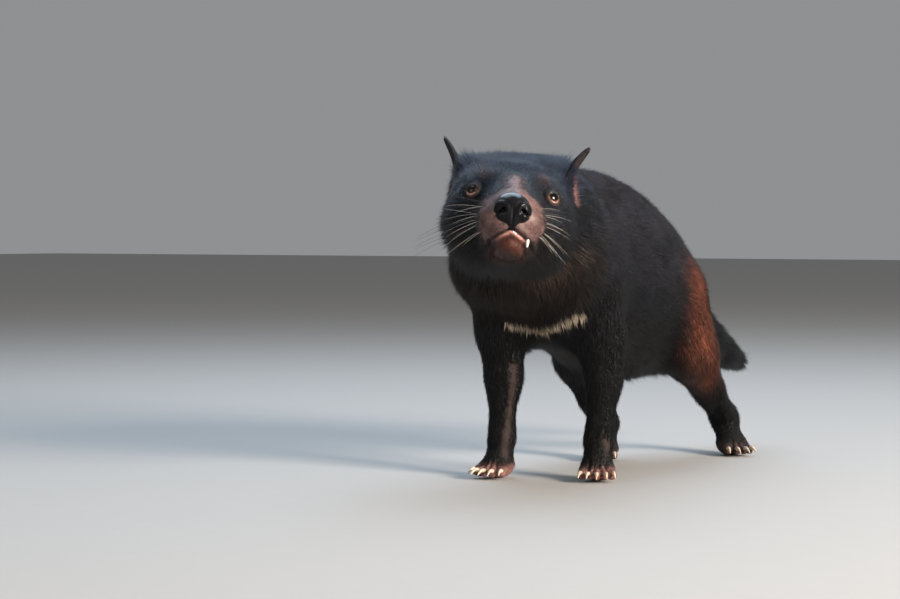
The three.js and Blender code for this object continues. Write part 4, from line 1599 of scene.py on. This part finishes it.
@dataclass(frozen=True)
class EnamelFinish:
    """Tooth enamel with faint stains."""

    enamel: Triple = (0.82, 0.77, 0.66)
    stains: Patches = Patches((0.80, 0.71, 0.58), scale=260.0, low=0.35, high=0.7)

    def build(self) -> Material:
        """Makes the material.

        Returns:
            The material.
        """
        m = Finish("enamel")
        tone, stain = m.mottled(self.enamel, self.stains)
        m.feed(Base_Color=tone, Normal=m.bump(stain, strength=0.1, distance=0.0002))
        m.set(Roughness=0.16, Coat_Weight=0.5, Coat_Roughness=0.08)
        return m.material


def rounded_copy(name: str, nodes: list[str], material: Material) -> None:
    """Smooth, finely rounded pieces that stand for small faceted nodes.

    Args:
        name: name of the piece.
        nodes: the nodes that it stands for.
        material: its finish.
    """
    bm = bmesh.new()
    for node in nodes:
        bm.from_mesh(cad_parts[node].data)
    bmesh.ops.remove_doubles(bm, verts=bm.verts, dist=1e-6)
    piece = new_piece(name, mesh_from(bm, name), material, nodes)
    rounding = piece.modifiers.new("rounding", "SUBSURF")
    rounding.levels = 2
    rounding.render_levels = 2


@dataclass
class Ear:
    """One ear: a cupped leaf, bare and pink inside, thinly haired outside."""

    side: Side
    width: float = 38.0
    cup: float = 6.5
    rim: float = 1.0
    root: float = 3.0
    sunk: float = -0.22

    def spine(self, t: Points) -> Points:
        """Points of the ear's middle line.

        Args:
            t: places along it, from 0 at the base to 1 at the tip.

        Returns:
            The points, in the head's axes.
        """
        base = np.array([-8.0, self.side.value * 52.0, 3.0])
        bend = np.array([-14.0, self.side.value * 50.0, 38.0])
        tip = np.array([-16.0, 74.0, 66.0]) if self.side.value > 0.0 else np.array([-16.0, -69.0, 63.0])
        t = t[:, None]
        return base * (1.0 - t) ** 2 + bend * 2.0 * t * (1.0 - t) + tip * t ** 2

    def shape(self, across: Points, along: Points, layer: Points) -> Points:
        """Places of the ear's surface in the head's axes.

        Args:
            across: from -1 at the rear edge to 1 at the front edge.
            along: from below 0 inside the head to 1 at the tip.
            layer: 1 on the hollow side and -1 on the outer side.

        Returns:
            The places.
        """
        way = unit(self.spine(along + 0.01) - self.spine(along - 0.01))
        hollow = np.array([0.12 if self.side.value > 0.0 else 0.0, self.side.value * 0.9, -0.25])
        hollow = unit(hollow - way * (way @ hollow)[:, None])
        edge = np.cross(way, hollow) * self.side.value
        t = np.clip(along, 0.0, 1.0)
        half = self.width / 2.0 * np.minimum(1.0, 0.62 + t) * np.sqrt(np.maximum(0.004, 1.0 - t ** 1.9))
        middle = 1.0 - across ** 2
        thick = self.rim + (self.root - self.rim) * (1.0 - t) * middle
        depth = self.cup * middle * (1.0 - 0.7 * t)
        fold = 0.7 * np.sin(across * 9.0) * ramp(t, 0.55, 0.05) * middle * (layer > 0.0)
        offset = -depth + layer * thick / 2.0 + fold
        return self.spine(along) + edge * (half * across)[:, None] + hollow * offset[:, None]

    def build(self) -> Surface:
        """Makes the ear.

        Returns:
            Its surface, for the coat.
        """
        columns, rows = 22, 34
        bm = bmesh.new()
        bmesh.ops.create_grid(bm, x_segments=columns, y_segments=rows, size=1.0)
        sheet = list(bm.faces)
        made = bmesh.ops.extrude_face_region(bm, geom=sheet)
        upper = {e for e in made["geom"] if isinstance(e, bmesh.types.BMVert)}
        flags = np.array([1.0 if v in upper else -1.0 for v in bm.verts])
        grid = np.array([v.co for v in bm.verts])
        along = self.sunk + (1.0 - self.sunk) * (grid[:, 1] + 1.0) / 2.0
        local = self.shape(grid[:, 0], along, flags)
        for vert, place in zip(bm.verts, HEAD.outside(local)):
            vert.co = place
        bmesh.ops.recalc_face_normals(bm, faces=bm.faces)
        mesh = mesh_from(bm, f"ear_skin_{self.side.word}")
        surface = Surface(mesh)
        store_value(mesh, "hollow", (flags + 1.0) / 2.0)
        store_value(mesh, "height", np.clip(along, 0.0, 1.0))
        finish = EarFinish().build(self.side.word)
        new_piece(f"ear_skin_{self.side.word}", mesh, finish, [f"ear_{self.side.word}"])
        self.flags, self.along, self.across = flags, along, grid[:, 0]
        return surface


@dataclass(frozen=True)
class EarFinish:
    """Ear skin: salmon pink in the hollow, dark outside, veined."""

    pink: Triple = (0.40, 0.18, 0.14)
    dusky: Triple = (0.030, 0.022, 0.023)
    outer: Triple = (0.014, 0.012, 0.014)
    dusky_from: Span = (0.12, 0.5)
    veins: Patches = Patches((0.6, 0.4, 0.4), scale=160.0, detail=6.0, low=0.4, high=0.65, amount=0.6)

    def build(self, side: str) -> Material:
        """Makes the material of one ear.

        Args:
            side: side of the head, in words.

        Returns:
            The material.
        """
        m = Finish(f"ear_skin_{side}")
        hollow = m.attribute("hollow").outputs["Fac"]
        height = m.attribute("height").outputs["Fac"]
        inner = m.mixed(m.ranged(height, self.dusky_from, (0.0, 1.0)), self.pink, self.dusky)
        inner, veins = m.mottled(inner, self.veins)
        tone = m.mixed(hollow, self.outer, inner)
        m.feed(Base_Color=tone, Normal=m.bump(veins, strength=0.4, distance=0.0006))
        m.set(Roughness=0.72, Subsurface_Weight=0.05, Subsurface_Scale=0.002, Specular_IOR_Level=0.2)
        return m.material


@dataclass
class Tufts:
    """Tufts of the coat, one row each: root, skin normal, weights of the regions, and how each one grows."""

    root: Points
    normal: Points
    weights: Points
    bare: Points
    way: Points = field(default_factory=lambda: np.empty(0))
    length: Points = field(default_factory=lambda: np.empty(0))
    width: Points = field(default_factory=lambda: np.empty(0))
    lift: Points = field(default_factory=lambda: np.empty(0))
    colour: Points = field(default_factory=lambda: np.empty(0))
    pull: Points = field(default_factory=lambda: np.empty(0))

    def pick(self, chosen: Points) -> "Tufts":
        """The rows with the chosen numbers."""
        return Tufts(**{f.name: getattr(self, f.name)[chosen] for f in fields(self)})

    def tip(self) -> Points:
        """Where each tuft would end without its clump."""
        out = self.normal * (self.length * np.sin(self.lift) * 0.86)[:, None]
        return self.root + self.way * (self.length * np.cos(self.lift))[:, None] + out

    def mesh(self, name: str, place: Points, patch: float) -> bpy.types.Mesh:
        """One mesh of all the tufts, each a thin closed spike of three sides.

        Args:
            name: name of the mesh.
            place: places on the unrolled skin, from 0 to 1.
            patch: width of each tuft's patch there.

        Returns:
            The mesh, with its UV map and its attributes.
        """
        across = np.cross(self.normal, self.way)
        base = self.root - self.normal * (0.5 * MM)
        half = (self.width / 2.0)[:, None]
        corners = [base - across * half, base + across * half, base + self.normal * half * 0.75]
        points = np.stack(corners + [self.tip() + self.pull], axis=1)
        faces = [[0, 1, 3], [1, 2, 3], [2, 0, 3], [0, 2, 1]]
        spread = [[-0.5, 0.0], [0.5, 0.0], [0.0, 0.1], [0.0, 1.0]]
        count, size = len(self.root), points.shape[1]
        pattern = np.concatenate([np.array(face) for face in faces])
        loops = (pattern[None, :] + size * np.arange(count)[:, None]).ravel()
        sizes = np.tile([len(face) for face in faces], count)
        mesh = bpy.data.meshes.new(name)
        mesh.vertices.add(size * count)
        mesh.vertices.foreach_set("co", points.astype(np.float32).ravel())
        mesh.loops.add(len(loops))
        mesh.loops.foreach_set("vertex_index", loops.astype(np.int32))
        mesh.polygons.add(len(sizes))
        mesh.polygons.foreach_set("loop_start", np.concatenate([[0], np.cumsum(sizes)[:-1]]).astype(np.int32))
        mesh.update(calc_edges=True)
        spots = (place[:, None, :] + np.array(spread)[None, :, :] * patch).reshape(-1, 2)
        layer = mesh.uv_layers.new(name="OFBake")
        layer.data.foreach_set("uv", spots[loops].astype(np.float32).ravel())
        store_colour(mesh, "coat_colour", np.repeat(self.colour, size, axis=0))
        store_value(mesh, "along", np.tile([row[1] for row in spread], count))
        return mesh


@dataclass(frozen=True)
class HairChange:
    """How the tufts of a place differ: shares added to length and width, and degrees added to the lift."""

    length: float = 0.0
    width: float = 0.0
    lift: float = 0.0

    def apply(self, tufts: Tufts, mask: Points) -> None:
        """Changes tufts that are still in millimetres and degrees.

        Args:
            tufts: the tufts.
            mask: how much of each tuft is in the place.
        """
        tufts.length *= 1.0 + self.length * mask
        tufts.width *= 1.0 + self.width * mask
        tufts.lift += self.lift * mask


@dataclass
class Coat:
    """The coat: thin tapered tufts of mesh rooted in the skin."""

    seed: int = 7
    most_triangles: int = 190000
    patch: float = 0.003
    clumping: float = 0.34
    guard: HairChange = HairChange(length=0.25, lift=9.0)
    face: HairChange = HairChange(length=-0.5, width=-0.22)
    muzzle: HairChange = HairChange(length=-0.5, width=-0.42, lift=5.0)
    ear_root: HairChange = HairChange(length=1.35, lift=24.0)
    cheek: HairChange = HairChange(length=1.05, lift=9.0)
    jaw: HairChange = HairChange(length=0.8, lift=24.0)
    band: HairChange = HairChange(length=-0.35, width=0.5, lift=6.0)
    belly: HairChange = HairChange(length=0.35, lift=12.0)
    bare_strip: HairChange = HairChange(length=-0.7, width=-0.5)

    @staticmethod
    def lie(tufts: Tufts) -> Points:
        """Direction in which the hairs lie.

        Args:
            tufts: the tufts, of which the roots, normals and weights are read.

        Returns:
            Unit vectors along the skin.
        """
        points, normals, region = tufts.root, tufts.normal, tufts.weights
        local = HEAD.inside(points)
        away = HEAD.way(local - np.array([128.0, 0.0, -22.0]))
        away[:, 2] -= 0.9 * ramp(local[:, 2], -40.0, -60.0)
        front = ramp(-normals[:, 1], 0.0, 0.7)
        flank = np.column_stack([np.zeros(len(points)), 1.0 - 0.75 * front, -0.35 - 0.65 * front])
        trunk = share_of(region, Region.NECK, Region.TORSO)
        leg = share_of(region, Region.FORELEG, Region.HINDLEG)
        head = share_of(region, Region.HEAD, Region.NOSE)
        way = head[:, None] * away + trunk[:, None] * flank
        way += leg[:, None] * np.array([0.0, 0.22, -1.0])
        way += share_of(region, Region.TAIL)[:, None] * np.array([0.05, 0.85, -0.5])
        way += share_of(region, Region.FOOT)[:, None] * np.array([0.1, -0.55, -0.8])
        way -= normals * np.sum(way * normals, axis=1, keepdims=True)
        way = unit(way)
        sweep = np.radians(11.0) * ripple(points, 0.035, 3) + np.radians(7.0) * ripple(points, 0.009, 4)
        return way * np.cos(sweep)[:, None] + np.cross(normals, way) * np.sin(sweep)[:, None]

    @staticmethod
    def scatter(body: Surface, density: Points, rng: np.random.Generator) -> Callable[[Points], Points]:
        """Random roots on a surface.

        Args:
            body: the surface.
            density: roots per square millimetre at each vertex.
            rng: source of random numbers.

        Returns:
            A function that carries values of the vertices to the roots.
        """
        a, b, c = (body.points[body.triangles[:, k]] for k in range(3))
        area = np.linalg.norm(np.cross(b - a, c - a), axis=1) / 2.0 / MM ** 2
        wanted = area * density[body.triangles].mean(axis=1)
        count = np.floor(wanted + rng.random(len(wanted))).astype(int)
        owner = np.repeat(np.arange(len(count)), count)
        r = rng.random((len(owner), 2))
        root = np.sqrt(r[:, 0])
        share = np.column_stack([1.0 - root, root * (1.0 - r[:, 1]), root * r[:, 1]])
        corner = body.triangles[owner]
        return lambda values: np.einsum("nk,nk...->n...", share, values[corner])

    @staticmethod
    def density(body: Surface, skin: Skin) -> Points:
        """Tufts per square millimetre at each vertex of the skin.

        Args:
            body: the skin.
            skin: its weights and bare parts.

        Returns:
            The densities.
        """
        density = skin.weights @ style_values("density") * (1.0 - 0.6 * skin.bare)
        local = HEAD.inside(body.points)
        for side in Side:
            x, y, z = Eye(side).local(local)
            edge = np.where(y > 0.0, 5.9, 7.0)
            density *= np.where((z > -6.0) & (z < 14.0), ramp(np.hypot(x, y) - edge, 0.0, 1.5), 1.0)
        density *= ramp(share_of(skin.weights, Region.NOSE), 0.5, 0.2)
        sole = ramp(body.points[:, 2], 0.009, 0.017)
        return density * np.where(share_of(skin.weights, Region.FOOT) > 0.3, sole, 1.0)

    def on_skin(self, body: Surface, skin: Skin, markings: Markings, rng: np.random.Generator) -> Tufts:
        """All tufts of the skin.

        Args:
            body: the skin.
            skin: its weights and bare parts.
            markings: the colours.
            rng: source of random numbers.

        Returns:
            The tufts.
        """
        sampled = self.scatter(body, self.density(body, skin), rng)
        normal = unit(sampled(body.normals()))
        made = Tufts(sampled(body.points), normal, sampled(skin.weights), sampled(skin.bare))
        count = len(made.root)
        guard = rng.random(count) < 0.12
        made.way = self.lie(made)
        made.length = made.weights @ style_values("length") * rng.uniform(0.65, 1.2, count)
        made.width = made.weights @ style_values("width") * rng.uniform(0.7, 1.15, count)
        made.lift = made.weights @ style_values("lift") + rng.normal(0.0, 3.5, count)
        self.guard.apply(made, guard)
        made.colour = markings.colour(made.root, made.weights)
        pale = markings.band_mask(made.root)[:, None]
        shade = 0.24 * rng.normal(size=(count, 1)) + 0.22 * ripple(made.root, 0.011, 51)[:, None]
        made.colour *= 1.0 + shade.clip(-0.6, 0.75) * (1.0 - 0.65 * pale)
        self.special_hair(made, markings, rng)
        made.length *= MM
        made.width *= MM
        made.lift = np.radians(made.lift)
        made.pull = self.clumped(made, rng)
        return made

    def special_hair(self, made: Tufts, markings: Markings, rng: np.random.Generator) -> None:
        """Changes the tufts of the face, the base of the ears, the chest bar, the belly and the bare strips.

        Args:
            made: the tufts, in millimetres and degrees.
            markings: the colours.
            rng: source of random numbers.
        """
        f, l, u = HEAD.inside(made.root).T
        head = share_of(made.weights, Region.HEAD)
        self.face.apply(made, head * ramp(f, 15.0, 62.0))
        self.muzzle.apply(made, made.bare)
        corner = bell(np.sqrt((f - 1.0) ** 2 + (np.abs(l) - 47.0) ** 2 + (u - 38.0) ** 2), 12.0)
        self.ear_root.apply(made, corner)
        self.cheek.apply(made, head * ramp(f, 60.0, 25.0) * ramp(u, 5.0, -30.0))
        self.jaw.apply(made, head * ramp(u, -40.0, -60.0) * ramp(f, 96.0, 78.0))
        self.band.apply(made, markings.band_mask(made.root))
        below = ramp(made.normal[:, 2], -0.35, -0.8)
        self.belly.apply(made, share_of(made.weights, Region.TORSO) * below)
        strip = np.maximum(markings.strip_mask(made.root), markings.ear_mask(made.root))
        self.bare_strip.apply(made, strip)
        stubble = made.bare > 0.3
        shade = np.where(rng.random(stubble.sum()) < 0.65, 0.22, 1.1)
        made.colour[stubble] *= shade[:, None]
        streak = (share_of(made.weights, Region.NECK) > 0.4) & (rng.random(len(f)) < 0.06)
        made.colour[streak] = made.colour[streak] * 2.0 + np.array([0.05, 0.035, 0.025])

    def clumped(self, made: Tufts, rng: np.random.Generator) -> Points:
        """How far each tip is drawn to its clump's middle.

        Args:
            made: the tufts.
            rng: source of random numbers.

        Returns:
            One shift per tuft.
        """
        label = np.argmax(made.weights, axis=1)
        size = style_values("clump")[label][:, None] * MM
        warp = np.column_stack([ripple(made.root, 0.02, 40 + k) for k in range(3)])
        cell = np.floor(made.root / size + 0.4 * warp).astype(np.int64)
        _, owner = np.unique(np.column_stack([cell, label]), axis=0, return_inverse=True)
        owner = owner.ravel()
        tips = made.tip()
        total = np.bincount(owner)
        middle = np.column_stack([np.bincount(owner, tips[:, k]) / total for k in range(3)])
        share = self.clumping * rng.uniform(0.5, 1.2, len(tips)) * (1.0 - 0.7 * made.bare)
        return (middle[owner] - tips) * share[:, None]

    def on_ear(self, ear: "Ear", surface: Surface, black: Triple) -> None:
        """Makes the short hair on the outer side, the edge and the root of one ear.

        Args:
            ear: the ear.
            surface: its skin.
            black: colour of the hair.
        """
        rng = np.random.default_rng(self.seed + 1)
        outer = np.where(ear.flags < 0.0, 1.5, 0.25 + 0.9 * (np.abs(ear.across) > 0.85)) * (ear.along > -0.05)
        sampled = self.scatter(surface, outer, rng)
        place = sampled(surface.points)
        count = len(place)
        made = Tufts(place, unit(sampled(surface.normals())), np.zeros((count, len(Region))), np.zeros(count))
        made.weights[:, Region.HEAD.value] = 1.0
        tipward = HEAD.way(ear.spine(np.array([0.9])) - ear.spine(np.array([0.1])))
        made.way = unit(tipward - made.normal * (made.normal @ tipward[0])[:, None])
        made.length = rng.uniform(2.4, 4.6, count) * (1.5 - 0.7 * sampled(np.clip(ear.along, 0.0, 1.0))) * MM
        made.width = rng.uniform(0.3, 0.5, count) * MM
        made.lift = np.radians(rng.normal(16.0, 5.0, count))
        made.colour = np.array(black) * rng.uniform(0.6, 1.6, (count, 1))
        made.pull = np.zeros((count, 3))
        flat = np.column_stack([sampled(ear.across), sampled(ear.along)])
        flat = 0.01 + 0.97 * (flat - flat.min(axis=0)) / np.ptp(flat, axis=0)
        mesh = made.mesh(f"coat_ear_{ear.side.word}", flat, self.patch)
        new_piece(f"coat_ear_{ear.side.word}", mesh, self.material)

    def build(self, body: Surface, skin: Skin, markings: Markings) -> None:
        """Makes every piece of the coat on the skin.

        Args:
            body: the skin.
            skin: the skin's weights and bare parts.
            markings: the colours.
        """
        self.material = CoatFinish().build()
        made = self.on_skin(body, skin, markings, np.random.default_rng(self.seed))
        label = np.argmax(made.weights, axis=1)
        label[label == Region.NOSE.value] = Region.HEAD.value
        left = np.where(label == Region.HEAD.value, HEAD.inside(made.root)[:, 1], made.root[:, 0]) > 0.0
        for region in Region:
            for side, own in (("left", left), ("right", ~left)):
                chosen = np.flatnonzero((label == region.value) & own)
                chosen = chosen[np.argsort(made.root[chosen, 1], kind="stable")]
                groups = math.ceil(len(chosen) * 4 / self.most_triangles)
                for number, group in enumerate(np.array_split(chosen, max(1, groups)), start=1):
                    if len(group):
                        part = made.pick(group)
                        name = f"coat_{region.name.lower()}_{side}_{number}"
                        mesh = part.mesh(name, self.unwrap(part.root, region), self.patch)
                        new_piece(name, mesh, self.material)

    @staticmethod
    def unwrap(roots: Points, region: Region) -> Points:
        """Place of each root on an unrolled skin: a fan round the head, or a tube round trunk, tail and legs.

        Args:
            roots: the roots.
            region: the part of the body.

        Returns:
            Two coordinates from 0 to 1.
        """
        if region is Region.HEAD:
            f, l, u = HEAD.inside(roots).T
            polar = np.arctan2(np.hypot(l, u + 12.0), f - 15.0)
            turn = np.arctan2(u + 12.0, l)
            flat = np.column_stack([polar * np.cos(turn), polar * np.sin(turn)])
        else:
            lying = region in (Region.NECK, Region.TORSO, Region.TAIL)
            axis, others = (1, [0, 2]) if lying else (2, [0, 1])
            along = roots[:, axis]
            edges = np.linspace(along.min(), along.max() + 1e-6, 12)
            slot = np.clip(np.digitize(along, edges) - 1, 0, 10)
            total = np.maximum(np.bincount(slot, minlength=11), 1)
            middle = [np.bincount(slot, roots[:, k], 11) / total for k in others]
            spots = (edges[:-1] + edges[1:]) / 2.0
            out = [roots[:, k] - np.interp(along, spots, m) for k, m in zip(others, middle)]
            if lying and region is not Region.TAIL:
                out[0] = roots[:, 0]
            flat = np.column_stack([np.arctan2(out[1], out[0]), along])
        low, high = flat.min(axis=0), flat.max(axis=0)
        return 0.01 + 0.97 * (flat - low) / np.maximum(high - low, 1e-9)


@dataclass(frozen=True)
class WhiskerFinish:
    """Stiff whisker hair, pale or black."""

    colour: Triple
    bands: Patches = Patches((0.7, 0.66, 0.62), scale=700.0, detail=3.0)

    def build(self, name: str) -> Material:
        """Makes the material.

        Args:
            name: its name.

        Returns:
            The material.
        """
        m = Finish(name)
        tone, _ = m.mottled(self.colour, self.bands)
        m.feed(Base_Color=tone)
        m.set(Roughness=0.32, Specular_IOR_Level=0.6)
        return m.material


@dataclass(frozen=True)
class WhiskerRow:
    """A row of dark whiskers on each side, in millimetres ahead, aside and above in the head's axes."""

    count: int
    root: Triple
    step: Triple
    way: Triple
    length: Span
    radius: float


@dataclass
class Whiskers:
    """The whiskers of the muzzle, brows and cheeks; none reaches past a widest x, in millimetres."""

    seed: int = 5
    widest: float = 97.0
    rows: int = 5
    columns: int = 4
    pale_share: float = 0.6
    radius: float = 0.16
    brow: WhiskerRow = WhiskerRow(
        4, root=(50.0, 24.0, 14.0), step=(-2.0, 2.5, 0.0),
        way=(0.5, 0.45, 0.75), length=(18.0, 28.0), radius=0.16)
    cheek: WhiskerRow = WhiskerRow(
        5, root=(26.0, 60.0, -30.0), step=(-4.0, 0.0, -4.0),
        way=(0.1, 0.8, -0.35), length=(28.0, 44.0), radius=0.17)

    def build(self, tree: BVHTree) -> None:
        """Makes all whiskers, as one pale and one dark piece.

        Args:
            tree: search tree of the skin.
        """
        rng = np.random.default_rng(self.seed)
        pale, dark = bmesh.new(), bmesh.new()
        for side in Side:
            direction = side.value
            for row in range(self.rows):
                for column in range(self.columns):
                    root = np.array([88.0 - 5.5 * column, direction * (22.0 + 2.0 * column),
                                     -24.0 - 5.0 * row + rng.normal(0.0, 0.8)])
                    swing = 1.1 + 0.16 * column + rng.normal(0.0, 0.08)
                    way = np.array([math.cos(swing) * 0.5 - 0.1, direction * math.sin(swing),
                                    0.16 - 0.21 * row + rng.normal(0.0, 0.08)])
                    self.hair(pale if rng.random() < self.pale_share else dark, tree, root, way,
                              rng.uniform(20.0, 34.0) + 5.0 * column, self.radius, rng)
            mirror = np.array([1.0, direction, 1.0])
            for group in (self.brow, self.cheek):
                for k in range(group.count):
                    root = (np.array(group.root) + k * np.array(group.step)) * mirror
                    self.hair(dark, tree, root, np.array(group.way) * mirror, rng.uniform(*group.length),
                              group.radius, rng)
        made = {"whiskers_pale": (pale, (0.42, 0.38, 0.34)), "whiskers_dark": (dark, (0.02, 0.018, 0.018))}
        for name, (bm, tone) in made.items():
            bmesh.ops.recalc_face_normals(bm, faces=bm.faces)
            new_piece(name, mesh_from(bm, name), WhiskerFinish(tone).build(name))

    def hair(self, bm: bmesh.types.BMesh, tree: BVHTree, root: Points, way: Points, length: float,
             radius: float, rng: np.random.Generator) -> None:
        """Adds one bent, tapered hair.

        Args:
            bm: mesh that takes it.
            tree: search tree of the skin.
            root: its root near the skin, in the head's axes.
            way: its first direction, in the head's axes.
            length: its length in millimetres.
            radius: its thickness at the root in millimetres.
            rng: source of random numbers.
        """
        start = np.array(tree.find_nearest(Vector(HEAD.outside(root)))[0])
        way = HEAD.way(way)
        droop = HEAD.way(np.array([-0.75, 0.0, -0.3 + rng.normal(0.0, 0.15)]))
        spare = max(0.0, self.widest - start[0] / MM)
        length = min(length, spare / max(0.25, way[0])) if way[0] > 0.0 else length
        steps, sides = 9, 5
        rings = []
        for i in range(steps + 1):
            t = i / steps
            centre = start + (way * (t * length) + droop * (0.32 * length * t * t) - way * 1.0) * MM
            thick = radius * (1.0 - t) ** 0.8 * MM + 0.03 * MM
            first = unit(np.cross(way, np.array([0.0, 0.0, 1.0])))
            second = np.cross(way, first)
            rings.append([bm.verts.new(centre + thick * (first * math.cos(a) + second * math.sin(a)))
                          for a in np.arange(sides) * 2.0 * math.pi / sides])
        for lower, upper in zip(rings[:-1], rings[1:]):
            for k in range(sides):
                other = (k + 1) % sides
                bm.faces.new((lower[k], lower[other], upper[other], upper[k]))
        bm.faces.new(rings[0])
        bm.faces.new(rings[-1])


@dataclass(frozen=True)
class Lamp:
    """A square area light: where it hangs, its side in metres, its power in watts and its colour."""

    name: str
    place: Triple
    size: float
    power: float
    tone: Triple

    def build(self, target: Triple) -> None:
        """Adds the light.

        Args:
            target: the point that it shines at.
        """
        data = bpy.data.lights.new(self.name, "AREA")
        data.size = self.size
        data.energy = self.power
        data.color = self.tone
        light = bpy.data.objects.new(self.name, data)
        aim = (Vector(target) - Vector(self.place)).to_track_quat("-Z", "Y")
        light.matrix_world = Matrix.Translation(self.place) @ aim.to_matrix().to_4x4()
        bpy.context.scene.collection.objects.link(light)


@dataclass(frozen=True)
class Studio:
    """Grey floor and soft lights: low warm sun from the animal's left under a blue sky."""

    floor_size: float = 15.0
    floor_tone: Triple = (0.38, 0.373, 0.36)
    floor_specks: Patches = Patches((0.96, 0.96, 0.96), scale=40.0, detail=3.0)
    target: Triple = (0.0, -0.05, 0.18)
    lamps: tuple[Lamp, ...] = (
        Lamp("key", (3.1, -0.54, 1.16), 1.05, 285.0, (1.0, 0.88, 0.77)),
        Lamp("sky", (-0.5, 0.6, 2.2), 2.2, 62.0, (0.64, 0.81, 1.0)),
        Lamp("fill", (-0.6, -2.2, 1.0), 1.0, 7.0, (1.0, 0.96, 0.92)))
    air_tone: Triple = (0.86, 0.88, 0.9)
    air_strength: float = 0.32

    def build(self) -> None:
        """Makes the floor, the lights and the background."""
        bm = bmesh.new()
        bmesh.ops.create_grid(bm, x_segments=2, y_segments=2, size=self.floor_size)
        mesh = mesh_from(bm, "floor")
        m = Finish("floor")
        tone, _ = m.mottled(self.floor_tone, self.floor_specks)
        m.feed(Base_Color=tone)
        m.set(Roughness=0.75)
        mesh.materials.append(m.material)
        floor = bpy.data.objects.new("floor", mesh)
        bpy.context.scene.collection.objects.link(floor)
        floor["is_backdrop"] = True
        for lamp in self.lamps:
            lamp.build(self.target)
        world = bpy.data.worlds.new("studio")
        world.use_nodes = True
        background = world.node_tree.nodes["Background"]
        background.inputs["Color"].default_value = (*self.air_tone, 1.0)
        background.inputs["Strength"].default_value = self.air_strength
        bpy.context.scene.world = world
        bpy.context.scene.view_settings.view_transform = "Standard"


def main() -> None:
    """Builds the animal and its studio, piece by piece."""
    logging.basicConfig(level=logging.INFO, format="%(message)s")
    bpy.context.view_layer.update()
    CAMERA.build()
    Studio().build()
    markings = Markings()
    skin = Skin()
    body = skin.build(markings)
    coat = Coat()
    coat.build(body, skin, markings)
    for side in Side:
        Eye(side).build()
        ear = Ear(side)
        coat.on_ear(ear, ear.build(), markings.colours.black)
    Nose().build()
    horn = HornFinish().build()
    for leg in LEGS:
        rounded_copy(f"claws_{leg}", claws_of(leg), horn)
    rounded_copy("tooth_left", ["canine_left"], EnamelFinish().build())
    Whiskers().build(body.tree())


if __name__ == "__main__":
    main()
